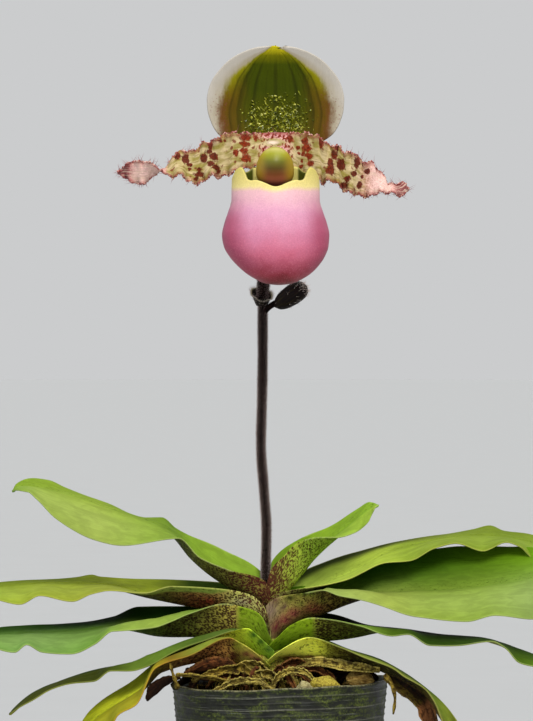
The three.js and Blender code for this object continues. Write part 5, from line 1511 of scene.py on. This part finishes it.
# %% [markdown]
# ## Back sepal
# The broad back sepal stands like a shield behind the flower: a green dome with dark veins, brown at
# its sides, inside a wide cream border. Each point knows how far across the dome it lies, from 0 on
# the middle vein to 1 at the border, so one ramp draws all the veins and they fan out by
# themselves.

# %% Sepal finishes


def sepal_material():
    f = Finish("sepal_green", specular_ior_level=0.08)
    place, across = f.vector("place"), f.number("across")
    height = f.part(place, 1)
    wobble = f.times(f.minus(f.stretched(place, (0.6, 0.3, 1), 4, 0.65), 0.5), 0.2)
    ratio = f.plus(across, wobble)
    colour = f.ramp(f.calc("DIVIDE", height, 39), [
        (0.1, (98, 86, 8)), (0.35, (70, 72, 0)), (0.62, (57, 67, 0)), (0.84, (64, 74, 0)),
        (0.92, (112, 112, 2)), (0.98, (200, 188, 24))])
    brown = f.times(f.range(ratio, 0.45, 0.95), f.range(height, 32, 22))
    colour = f.blend(brown, colour, (94, 68, 8))
    edging = f.times(f.range(ratio, 0.86, 0.98), f.range(height, 25, 14))
    colour = f.blend(f.times(edging, 0.7), colour, (104, 64, 32))
    fringe = f.times(f.range(ratio, 0.66, 1.0), f.range(height, 18, 33))
    colour = f.blend(fringe, colour, (152, 146, 14))
    veins = f.ramp(f.plus(across, f.times(wobble, 0.12)), [
        (0, 0.6), (0.03, 0.5), (0.06, 0), (0.17, 0), (0.2, 0.25), (0.23, 0), (0.36, 0), (0.42, 0.8),
        (0.47, 0), (0.54, 0), (0.57, 0.3), (0.6, 0), (0.64, 0.4), (0.69, 0.7), (0.72, 0), (0.78, 0),
        (0.83, 0.7), (0.86, 0)])
    reach = f.times(f.range(height, 36, 30), f.range(height, 4, 12))
    colour = f.blend(f.times(f.times(veins, reach), 0.75), colour, (34, 36, 2))
    fine = f.stretched(place, (1.6, 0.1, 1), 3, 0.6)
    grain = f.noise(place, 1.2, 3, 0.7)
    colour = f.shade(f.shade(colour, fine, 0.76, 1.24), grain, 0.85, 1.15)
    cream = f.shade(f.blend(f.range(ratio, 1.0, 1.35), (170, 160, 138), (188, 182, 172)), fine, 0.94, 1.05)
    dots = f.range(f.cells(place, 1.1), 0.3, 0.16)
    beside = f.times(f.range(ratio, 0.8, 1.0), f.times(f.range(ratio, 1.3, 1.08), f.range(height, 26, 20)))
    soft = f.times(f.range(height, 28, 36), 0.16)
    edge = f.plus(ratio, soft)
    colour = f.blend(f.range(edge, 0.95, 1.13), colour, cream)
    colour = f.blend(f.times(f.times(dots, beside), 0.7), colour, (120, 62, 60))
    relief = f.relief(f.plus(fine, f.times(veins, -0.8)), 0.22, 0.8)
    return f.done(colour, f.range(fine, 0.3, 0.7, 0.5, 0.62), relief)


def synsepal_material():
    f = Finish("sepal_pale_green", specular_ior_level=0.4, roughness=0.5)
    place, across = f.vector("place"), f.number("across")
    fine = f.stretched(place, (1.2, 0.06, 1), 3, 0.6)
    veins = f.ramp(across, [(0, 0.9), (0.03, 0), (
        0.24, 0), (0.27, 0.7), (0.3, 0), (0.5, 0), (0.53, 0.6), (0.56, 0), (0.74, 0), (0.77, 0.5), (0.8, 0)])
    colour = f.blend(f.range(across, 0.5, 1.0), (132, 150, 52), (176, 184, 104))
    colour = f.blend(f.times(veins, 0.6), f.shade(colour, fine, 0.82, 1.12), (64, 84, 20))
    return f.done(colour, None, f.relief(fine, 0.2, 0.8))


sepal_green, sepal_pale = sepal_material(), synsepal_material()
print("sepal finish nodes:", len(sepal_green.node_tree.nodes))


# %% [markdown]
# ## Sepals
# Both sepals are broad sheets whose half width follows a profile from foot to tip. The back one
# stands up and cups forward, the low one hangs behind the pouch, and one function makes both.

# %% Sepal bodies
DORSAL = [(0, 2.5), (2.5, 9.5), (5, 15), (8.7, 20.2), (12.9, 22.5), (17, 23.6), (20.5, 23.8), (23.9, 23.2),
          (27.4, 21.8), (30.8, 19.3), (34.3, 15.7), (36.4, 12.2), (37.7, 9.0), (38.5, 5.8), (38.8, 2)]
DOME = [(0, 16.5), (10, 18.7), (15.6, 19.5), (21.9, 17.9), (27.4, 15.6), (30.8, 12.9), (34.3, 9.2),
        (35.9, 6.9), (37.2, 4.4), (38.8, 1.8)]
SYNSEPAL = [(0, 3), (6, 11), (13, 15.6), (20, 14.2), (27, 8.6), (31, 1)]


def sepal(name, node, foot, profile, way, lean, cup, tip, finish, dome=None, notch=0.0):
    """A broad sepal standing up (way 1) or hanging down (way -1) from its foot."""
    t, u = np.meshgrid(np.linspace(0, 1, 90), np.linspace(-1, 1, 81), indexing="ij")
    length = profile[-1][0]
    h = length * (1 - (1 - t) ** 1.5)
    w = curve(profile)(h) * np.sin(u * math.pi / 2)
    k = h / length
    forward = lean(k) + cup * (w / 23) ** 2 + tip * k**3 + 0.12 * waves(w, h, 6, 8)
    z = foot[2] + way * (h - notch * np.exp(-((w - 1.6) / 0.9) ** 2) * step(k, 0.9, 1))
    across = np.abs(w) / curve(dome or profile)(h)
    warty = np.exp(-((w - 0.4) / 9.5) ** 4) * step(h, 24, 13) * step(h, 4, 7)
    grid = np.stack([foot[0] + w, foot[1] - forward, z], -1)
    made = sheet(name, grid, mix(1.0, 0.4, np.abs(u) ** 3), finish,
                 {"place": np.stack([w, h, 0 * w], -1), "across": across, "hairy": warty})
    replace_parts(made, node)
    return made


dorsal = sepal("back_sepal", "dorsal_sepal", (-1.4, -2.6, 254.9), DORSAL, 1,
               lambda k: 0.5 - 2.6 * np.sin(math.pi * k * 0.9), 3, 4.5, sepal_green, DOME, notch=0.7)
sepal("low_sepal", "synsepal", (-1.4, -2.4, 251), SYNSEPAL, -1, lambda k: 0.5 + 1.5 * k, 1.8, 1, sepal_pale)
print("back sepal points:", len(dorsal.data.vertices))

# %% [markdown]
# ## Warts
# Near its foot the back sepal's face is thick with shining warts and a few long hairs. They come from
# the same node trees as the fur. They grow only where the surface looks forward, so the values
# behind are set to nothing first.

# %% Warts and hairs on the back sepal


def values_of(made, key, width=1):
    field = "vector" if width == 3 else "value"
    read = np.empty(len(made.data.vertices) * width)
    made.data.attributes[key].data.foreach_get(field, read)
    return read.reshape(-1, width) if width > 1 else read


wart_gold = speckled(
    "sepal_warts", (0.9, 3),
    [(0.36, (56, 66, 2)), (0.5, (112, 118, 14)), (0.6, (164, 164, 44)), (0.72, (214, 210, 120))],
    roughness=0.14, specular_ior_level=0.6)
warty = values_of(dorsal, "hairy") * (values_of(dorsal, "outward", 3)[:, 1] < 0)
dorsal.data.attributes["hairy"].data.foreach_set("value", warty)
strew("back_sepal_warts", dorsal, lumps, wart_gold, "sepal_green", 12, density=1.9, length=0.46,
      lean=1.6, smallest=(0.4, 0.4, 0.6), largest=(0.95, 0.95, 2.6))
strew("back_sepal_hairs", dorsal, hairs, wart_gold, "sepal_green", 13, density=1.2, length=1.5,
      thickness=0.11, lean=1.1)

# %% [markdown]
# ## Petal finish
# The petals are cream to yellow-green with maroon blotches, blush rose at both ends, and bear pink
# knobs and bristles along their margins. Where each colour lies is worked out on the blade's points,
# and the nodes only fray the borders, so that no blotch has a drawn edge.

# %% Petal, knob and bristle finishes


def petal_material():
    f = Finish("petal_cream", specular_ior_level=0.08)
    place, blotch, blush, edge = f.vector("place"), f.number("blotch"), f.number("blush"), f.number("edge")
    tip = f.number("tip")
    lines = f.stretched(place, (0.16, 1.9, 1), 3, 0.6, 0.3)
    grain = f.noise(place, 1.5, 4, 0.7)
    clouds = f.stretched(place, (0.2, 0.4, 1), 2)
    colour = f.blend(f.range(clouds, 0.35, 0.65), (150, 137, 69), (208, 188, 144))
    colour = f.shade(colour, grain, 0.82, 1.16)
    colour = f.blend(f.range(lines, 0.56, 0.66, 0, 0.6), colour, (112, 88, 40))
    rose = f.shade(f.blend(f.range(grain, 0.35, 0.65), (164, 76, 82), (240, 190, 182)), lines, 0.85, 1.2)
    spread = f.plus(blush, f.times(f.minus(grain, 0.5), 0.7))
    # Painted light: `pale` lightens a band of the tip near the neck.
    rose = f.blend(f.times(f.number("pale"), 0.6), rose, (244, 214, 204))
    rose = f.blend(f.times(f.number("dusk"), 0.92), rose, (130, 66, 68))
    colour = f.blend(f.range(spread, 0.15, 0.9), colour, rose)
    pale = f.times(f.range(lines, 0.52, 0.42), tip)
    colour = f.blend(f.times(pale, 0.8), colour, (214, 184, 166))
    tooth = f.stretched(place, (1.1, 0.7, 1), 4, 0.8)
    ragged = f.plus(blotch, f.times(f.minus(tooth, 0.5), 1.5))
    clusters = f.times(f.range(f.noise(place, 0.32, 2), 0.46, 0.54), f.range(tip, 0.6, 0.2))
    specks = f.times(f.range(f.cells(f.scaled(place, (1, 0.8, 1)), 0.5), 0.34, 0.2), clusters)
    reach = f.range(f.calc("ABSOLUTE", f.part(place, 0)), 14, 22)
    dark = f.blend(f.range(grain, 0.35, 0.65), f.blend(reach, (88, 17, 4), (62, 8, 4)),
                   f.blend(reach, (146, 46, 17), (108, 28, 12)))
    colour = f.blend(f.times(specks, 0.85), colour, (112, 36, 26))
    colour = f.blend(f.times(f.range(ragged, 0.33, 0.6), 0.96), colour, dark)
    # Painted highlight: where `blush` falls below zero, near the petals' meeting, the colour turns near
    # white.
    colour = f.blend(f.range(blush, -0.1, -1.3), colour, (246, 224, 204))
    rim = f.times(f.range(edge, 0.7, 1.0), f.range(grain, 0.36, 0.56))
    colour = f.blend(f.times(rim, 0.8), colour, (150, 66, 62))
    return f.done(colour, f.range(grain, 0.3, 0.7, 0.6, 0.75), f.relief(f.plus(lines, grain), 0.25, 0.9))


petal_cream = petal_material()
knob_pink = speckled(
    "petal_knobs", (0.9, 2), [(0.36, (96, 24, 28)), (0.48, (160, 80, 78)), (0.64, (222, 182, 168))],
    roughness=0.35, specular_ior_level=0.35)
hair_maroon = hair_material("hair_maroon", (92, 26, 38), (168, 104, 108))
print("petal finish nodes:", len(petal_cream.node_tree.nodes))

# %% [markdown]
# ## Petals
# The petals are narrow and crisped, and the left one makes a half twist at a neck near its tip, so
# that the tip shows its back. Margins are listed as (distance from the middle, height), and the
# waves along them are sines whose beat wanders. `marks` are the blotches, as (out, height, half
# width, half height). `pale` and `dusk` tell how far past the neck the tip is lighter and darker;
# the lighter band is painted light.

# %% Petals, bristles and knobs
PETAL_ROWS, PETAL_COLUMNS = 220, 41
NECK_HALF = 1.3  # mm, half the length of the twist


def petal(name, side, neck, pale, dusk, upper, lower, width, marks):
    seed, lead, twisted = (3, 4, 1) if side < 0 else (17, 16, 0)
    top, bottom, half = curve(upper), curve(lower), curve(width)
    out, u = np.meshgrid(np.linspace(0.04, upper[-1][0], PETAL_ROWS),
                         np.sin(np.linspace(-math.pi / 2, math.pi / 2, PETAL_COLUMNS)), indexing="ij")
    middle = (top(out) + bottom(out)) / 2
    rise = np.maximum((top(out) - bottom(out)) / 2, 0.3)
    over = 1 - 2 * twisted * step(out, neck - NECK_HALF, neck + NECK_HALF)
    depth = np.sqrt(np.maximum(half(out) ** 2 - rise**2, 0))
    frill = np.abs(u) ** 2.2
    settle = step(out, 3, 10)
    beat = out * 1.7 + 1.1 * waves(out, u * 0, seed, 7) + 1.5 * np.sign(u)
    scallop = 0.42 * np.sin(beat + 0.6) + 0.28 * np.abs(np.sin(out * 2.6 + waves(out, u * 0, seed, 5))) - 0.14
    scallop *= mix(1, 0.45, step(out, neck - 3, neck + 2))
    crisp = 1.1 * frill * np.sin(beat) + 0.35 * np.abs(u) * np.sin(out * 2.9 + 2 * u)
    y = -7.4 - 2 * np.sin(out / 14) - 0.05 * out + depth * u * 0.6 + crisp * settle
    z = middle + rise * u * over * (1 + 0.02 * u) + scallop * frill * np.sign(u) * settle
    x = side * out
    warp = 0.4 * waves(x, z, seed, 1.9)
    blotch = np.zeros_like(out)
    for mark_out, mark_z, wide, tall in marks:
        away = ((out + warp - mark_out) / wide) ** 2 + ((z + warp - mark_z) / tall) ** 2
        blotch = np.maximum(blotch, np.exp(-0.75 * away))
    base_freckles = 0.8 * step(out, 10, 3) * (waves(x, z, 31, 1.9) > 0.1) * step(z, 252, 255)
    # Painted highlight: a near-white spot where the petals meet, about 260 mm high, with no blotches.
    painted_highlight = np.exp(-((x + 0.9) / 3.4) ** 2 - ((z - 260) / 1.2) ** 2)
    blotch = np.maximum(blotch, base_freckles) * (1 - painted_highlight)
    tip = step(out, neck - lead, neck - lead / 8)
    blush = np.maximum(0.95 * step(out, 9, 2) * step(z, 252, 258), tip) - 2.2 * painted_highlight
    past = out - neck
    values = {"place": np.stack([x, u * half(out), 0 * u], -1), "blotch": blotch, "blush": blush,
              "edge": np.abs(u), "tip": tip, "out": out,
              "pale": step(past, *pale[:2]) * step(past, *pale[2:]), "dusk": step(past, *dusk)}
    made = sheet(name + "_blade", np.stack([FLOWER[0] + x, y, z], -1), mix(0.8, 0.5, np.abs(u) ** 2),
                 petal_cream, values)
    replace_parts(made, name)
    rim, far = values_of(made, "hairy"), values_of(made, "out")
    write = made.data.attributes["hairy"].data.foreach_set
    write("value", rim * (0.12 + 0.3 * step(far, 18, 30) + 0.6 * step(far, 36, 42)))
    strew(name + "_hairs", made, hairs, hair_maroon, "petal_cream", seed, density=5,
          length=3.4, thickness=0.085, lean=0.8, smallest=(0.8, 0.8, 0.3), largest=(1.2, 1.2, 1.1))
    write("value", rim * mix(0.5, 1, step(far, 1, 5)))
    strew(name + "_knobs", made, lumps, knob_pink, "petal_cream", seed + 1, density=4.2,
          length=0.42, lean=0.6, smallest=(0.5, 0.5, 0.6), largest=(1, 1, 1.3))


petal(
    "petal_left", side=-1, neck=40.2, pale=(-1, 2, 11, 8), dusk=(8.5, 12),
    upper=[(0.4, 263.4), (9, 263), (15, 263), (19.5, 261.8), (22, 260.2), (25, 259.6), (27, 257.8),
           (29.5, 256.8), (34, 256.8), (36.2, 254.4), (37.2, 252.2), (38.9, 251.1), (40.2, 250.7),
           (41.2, 251.3), (42.9, 252.8), (48.5, 253.4), (51.8, 252.4), (54.6, 249.8)],
    lower=[(0.4, 254.6), (4, 253), (7, 251.6), (13, 250.4), (17.4, 248.4), (20, 248), (22.6, 248.6),
           (24.7, 246.4), (27, 245.6), (29, 246), (33.8, 248.8), (36.2, 247.8), (38.6, 249.4), (40.2, 249.6),
           (42.6, 248.6), (44.9, 246.4), (47.5, 245.8), (50.2, 246.6), (52.8, 248.2), (54.6, 249.2)],
    width=[(0, 4.6), (10, 6.8), (27, 6.6), (36, 5.6), (39, 4.4), (46, 4.6), (52, 3), (54.6, 0.5)],
    marks=[(10.7, 261.7, 1.9, 1.3), (10.7, 259.4, 1.8, 1.1), (10.9, 257.1, 1.4, 1), (10.4, 254.4, 1.7, 1.5),
           (13.8, 256.2, 1, 1.3), (22.8, 258.8, 1.0, 2.0), (21.5, 254.9, 1.5, 1.6), (24.8, 254.4, 1.2, 1.6),
           (22.6, 252.4, 1.2, 1), (20.8, 251.2, 1.4, 0.9), (19.8, 249.8, 1, 0.8), (23.3, 256.7, 1.5, 0.6),
           (19.3, 260.6, 0.7, 0.6), (17.6, 260.6, 0.6, 0.6), (34.2, 255.2, 1.1, 1.5), (31.3, 254.1, 1.3, 1.8),
           (29.9, 252, 1.1, 0.7), (29.8, 250.4, 0.7, 0.7), (26.4, 250.5, 1, 0.8), (26.7, 248.8, 1.8, 0.9),
           (27.4, 247.2, 1.1, 0.8), (7, 261.6, 0.9, 1.2)])
petal(
    "petal_right", side=1, neck=39.8, pale=(-9, -5, 2, -1), dusk=(0.5, 3),
    upper=[(0.4, 263.4), (9.5, 263), (15.8, 261.4), (17.8, 259.2), (22.3, 258.2), (24, 256.2), (27.5, 256),
           (30.3, 253), (34, 252.6), (35.8, 249.8), (37.9, 248.4), (39, 245.6), (42, 245.4), (44.8, 246),
           (45.9, 244.2)],
    lower=[(0.4, 254.6), (4, 253), (6.6, 250.6), (9.5, 248.2), (15.4, 247.2), (16.4, 245.8), (18.5, 246.8),
           (21, 245.8), (24, 243.2), (26.8, 242.4), (29.6, 241.4), (32, 241.2), (36.5, 242.6), (40.3, 242.6),
           (43.8, 241.2), (45.9, 243.6)],
    width=[(0, 4.6), (10, 6.8), (24, 6.6), (34, 5.2), (39, 3.6), (43, 3), (45.9, 0.5)],
    marks=[(5.1, 261.4, 0.9, 1.7), (10.4, 260.1, 1.2, 1.9), (10.9, 258.1, 1.6, 1.4), (11.7, 255.3, 1.5, 1.1),
           (12.1, 252.6, 1.1, 1), (15.8, 259.7, 0.9, 1.8), (21.4, 258, 0.9, 1.2), (20.3, 255.7, 1.1, 1.5),
           (19.1, 252.9, 1.1, 1.5), (19.1, 250.2, 1.5, 1.8), (22.8, 252.2, 1.7, 2.1), (27.2, 249.2, 1, 1.1),
           (28.3, 252.9, 0.9, 2.3), (31.8, 249.9, 0.8, 1), (24.8, 247.1, 1.1, 1.1), (23.8, 245.1, 1.8, 1.1),
           (30.1, 248, 0.7, 0.7), (29.2, 245.1, 0.9, 1.4), (7.8, 258.2, 0.7, 0.7), (8.2, 256.2, 0.7, 0.6),
           (9.6, 256.1, 0.7, 0.7), (9.2, 253.6, 0.8, 0.7), (8.9, 251.7, 0.8, 0.7)])
print("petals made from", PETAL_ROWS, "by", PETAL_COLUMNS, "points on each side")

# %% [markdown]
# ## Pouch
# The lip is a smooth inflated slipper: open at the top between two small ears, widest below the
# middle, and round at the toe. It is a stack of rings for the outside, a rolled rim, and a second
# stack for the inside. Its pink deepens towards the toe and the sides under a fine speckle, partly
# its own colour and partly painted shade, darkest low on the left, and the rim fades to pale yellow.

# %% Pouch
POUCH_TOP = 245.4
POUCH_WALL = 0.9
POUCH_SIDES = 128
POUCH_ROWS = 84
# Each ring stands at (mm below the mouth, half width, half depth, middle in y).
POUCH_RINGS = [
    (-6, 15.2, 11.4, -20), (2, 15.3, 11.8, -20.4), (6, 15.3, 12.6, -21.4), (10, 16.4, 13.6, -22.8),
    (14, 17.7, 14.4, -24.2), (18, 18.5, 14.8, -25.6), (22, 18, 14.6, -26.8), (25.5, 16.4, 13.6, -27.8),
    (28.5, 14.1, 12, -28.4), (31.4, 11, 9.6, -28.8), (33.5, 7.6, 6.8, -29), (34.9, 4.2, 3.8, -29),
    (35.3, 1, 1, -29)]


def pouch_material():
    f = Finish("pouch_pink", specular_ior_level=0.2)
    place, inside = f.vector("place"), f.number("inside")
    drop = f.part(place, 1)
    across = f.part(place, 0)
    mottle = f.noise(f.millimetres(), 0.26, 3, 0.6)
    speckle = f.noise(f.millimetres(), 2.1, 3, 0.8)
    waver = f.times(f.minus(mottle, 0.5), f.range(drop, 2, 10, 1.2, 6))
    # The pink deepens to the toe, partly its own colour and partly painted shade.
    colour = f.ramp(f.calc("DIVIDE", f.plus(f.plus(drop, waver), 6), 41), [
        (0.0, (206, 194, 100)), (0.15, (224, 208, 130)), (0.18, (228, 212, 140)), (0.22, (220, 176, 182)),
        (0.4, (204, 146, 174)), (0.6, (194, 118, 148)), (0.78, (194, 98, 124)), (0.92, (166, 60, 78)),
        (1.0, (112, 34, 38))])
    # Own deeper rose and painted shade: the sides are darkened, most of all low on the left.
    off = f.minus(across, f.range(drop, 16, 34, 0, 2))
    shaded_flank = f.plus(f.calc("ABSOLUTE", off), f.range(drop, 22, 38, 0, 4))
    side = f.times(f.range(shaded_flank, 8, 16), f.range(drop, 2, 14))
    colour = f.blend(f.times(side, 0.7), colour, (150, 44, 76))
    colour = f.shade(colour, speckle, 0.7, 1.28)
    freckles = f.times(f.range(speckle, 0.54, 0.66), f.range(drop, 12, 28))
    colour = f.blend(f.times(freckles, 0.4), colour, (206, 132, 146))
    lining = f.blend(f.range(f.calc("ABSOLUTE", across), 7.4, 8.2), (214, 206, 120), (70, 76, 14))
    lining = f.blend(f.range(drop, 0, 9), lining, (150, 90, 96))
    colour = f.blend(inside, colour, lining)
    return f.done(colour, f.range(speckle, 0.3, 0.7, 0.42, 0.56), f.relief(speckle, 0.07, 0.7))


# How high the rim stands over the mouth, by the angle in degrees from the plant's right side.
HALF_RIM = [
    (-96, -1.4), (-90, -1.9), (-84, -1.6), (-78, -0.9), (-70, -0.1), (-62, 0.4), (-55, 0.3), (-49, 0.8),
    (-43, 3.6), (-36, 5), (-27, 4.6), (-14, 2.6), (0, 1.4), (30, 3.4), (48, 4), (58, 5.6), (66, 6)]
RIM = HALF_RIM + [(180 - angle, height) for angle, height in HALF_RIM]
RIM += [(-102, -0.3), (12, 2.2), (90, 1), (168, 2.4)]


def pouch_rings(shrink):
    """The shell's rings, made smaller all round by `shrink`, with their drop below the mouth."""
    wide, deep, middle = (curve([(r[0], r[k]) for r in POUCH_RINGS]) for k in (1, 2, 3))
    toe = POUCH_RINGS[-1][0] - shrink
    t, s = np.meshgrid(np.linspace(0, 1, POUCH_ROWS), np.linspace(0, 1, POUCH_SIDES, endpoint=False),
                       indexing="ij")
    angle = -90 + 360 * s
    a = np.radians(angle)
    drop = toe * np.sin(t * math.pi / 2) ** 1.2 - (1 - t) ** 4 * curve(RIM)(angle)
    lean = (1 - t) ** 6 * 0.15
    toe_shift = 1.1 * step(drop, 18, 34)
    w = np.maximum(wide(drop) - shrink - lean, 0.25)
    d = np.maximum(deep(drop) - shrink - lean, 0.25)
    groove = 0.04 * np.sin(26 * a) * step(drop, 0, 6) * step(drop, 24, 10)
    x = FLOWER[0] + toe_shift + (w + groove) * np.cos(a)
    return np.stack([x, middle(drop) + (d + groove) * np.sin(a), POUCH_TOP - drop], -1), drop, a


def pouch():
    outer, drop_out, a = pouch_rings(0)
    inner, drop_in, _ = pouch_rings(POUCH_WALL)
    lip = (outer[:1] + inner[:1]) / 2 + (0, 0, 0.35)
    rings = np.concatenate([outer[::-1], lip, inner])
    drop = np.concatenate([drop_out[::-1], drop_out[:1], drop_in])
    inside = np.concatenate([np.zeros_like(drop_out), np.full_like(a[:1], 0.4), np.ones_like(drop_in)])
    angle = np.concatenate([a, a[:1], a])
    below = drop + np.minimum(curve(RIM)(np.degrees(angle)), 0) * np.exp(-np.maximum(drop, 0) / 6)
    place = np.stack([rings[..., 0] - FLOWER[0], below, np.sin(angle) * 14], -1)
    made = stack("pouch_shell", rings, pouch_material(), {"place": place, "inside": inside})
    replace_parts(made, "lip_pouch")


pouch()
print("pouch height:", POUCH_RINGS[-1][0], "mm below its mouth")

# %% [markdown]
# ## Column and its shield
# In the pouch's mouth sits the column, hidden by a glossy domed shield, the staminode: bright
# green on top with a pale painted highlight near its top, olive at its sides and mauve-brown at its
# foot. Its outline is round above and fuller below.

# %% Column and shield
SHIELD = {"x": -1.6, "y": -19.6, "z": 249.6, "half_width": 6.6, "above": 8.5, "below": 5.3, "bulge": 3.8}


def shield_material():
    f = Finish("shield_green", specular_ior_level=0.35, coat_weight=0.1, coat_roughness=0.6)
    place = f.vector("place")
    parts = f.part(place, 1)
    across = f.part(place, 0)
    cloud = f.stretched(place, (0.5, 0.5, 0.5), 2)
    net = f.noise(place, 1.6, 3, 0.65)
    level = f.plus(parts, f.times(f.minus(cloud, 0.5), 0.3))
    # The pale stop at 0.9, near the top, is a painted highlight.
    colour = f.ramp(
        level, [(0.04, (154, 92, 74)), (0.18, (164, 92, 62)), (0.32, (118, 62, 18)), (0.46, (90, 66, 2)),
                (0.62, (98, 98, 0)), (0.78, (148, 150, 24)), (0.9, (186, 178, 92)), (1.0, (146, 140, 34))])
    colour = f.blend(f.times(f.range(across, 0.3, 1.0), 0.8), colour, (176, 146, 24))
    return f.done(f.shade(colour, net, 0.82, 1.16), f.range(net, 0.3, 0.7, 0.4, 0.52),
                  f.relief(net, 0.08, 0.7))


def shield():
    s, a, _ = globe(48, 72, 0.04)
    r = np.sin(s) ** 0.85
    c, up = np.cos(a), np.sin(a)
    full = np.where(up < 0, 0.8, 1.0)
    x = SHIELD["half_width"] * r * np.sign(c) * np.abs(c) ** full
    z = np.where(up > 0, SHIELD["above"], SHIELD["below"]) * r * np.sign(up) * np.abs(up) ** full
    y = -SHIELD["bulge"] * np.cos(s) * (1 + 0.25 * np.exp(-((x / 3) ** 2 + ((z - 3) / 3) ** 2)))
    height = (z + SHIELD["below"]) / (SHIELD["above"] + SHIELD["below"])
    place = np.stack([np.abs(x) / SHIELD["half_width"], height, y / 6], -1)
    made = stack("shield", np.stack([SHIELD["x"] + x, SHIELD["y"] + y, SHIELD["z"] + z], -1),
                 shield_material(), {"place": place})
    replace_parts(made, "staminode")


def column():
    pale = speckled("column_pale", (1.1, 3), [
        (0.35, (196, 148, 128)), (0.55, (206, 204, 132)), (0.72, (226, 220, 170))], 0.2, roughness=0.5)
    rings, _, _ = bar_rings([(-1.4, -6.2, 252.8), (-1.4, -10.6, 251.6), (-1.4, -14.4, 249.9)],
                            lambda t: 2.7 + 0.6 * t - 1.6 * t**8, 28, 30)
    made = stack("column_stem", rings, pale, furred(rings))
    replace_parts(made, "column")
    strew("column_hairs", made, hairs, hair_pale, "column_green", 15, density=1.5, length=1.0)
    for part, across, z in (("anther_left", -3.4, 249.6), ("anther_right", 3.4, 249.6), ("stigma", 0, 247.4)):
        stack(part, np.array((FLOWER[0] + across, -12.4, z)) + globe(16, 24)[2] * np.array((1.8, 1.8, 1.7)),
              pale)


shield()
column()
print("shield and column made")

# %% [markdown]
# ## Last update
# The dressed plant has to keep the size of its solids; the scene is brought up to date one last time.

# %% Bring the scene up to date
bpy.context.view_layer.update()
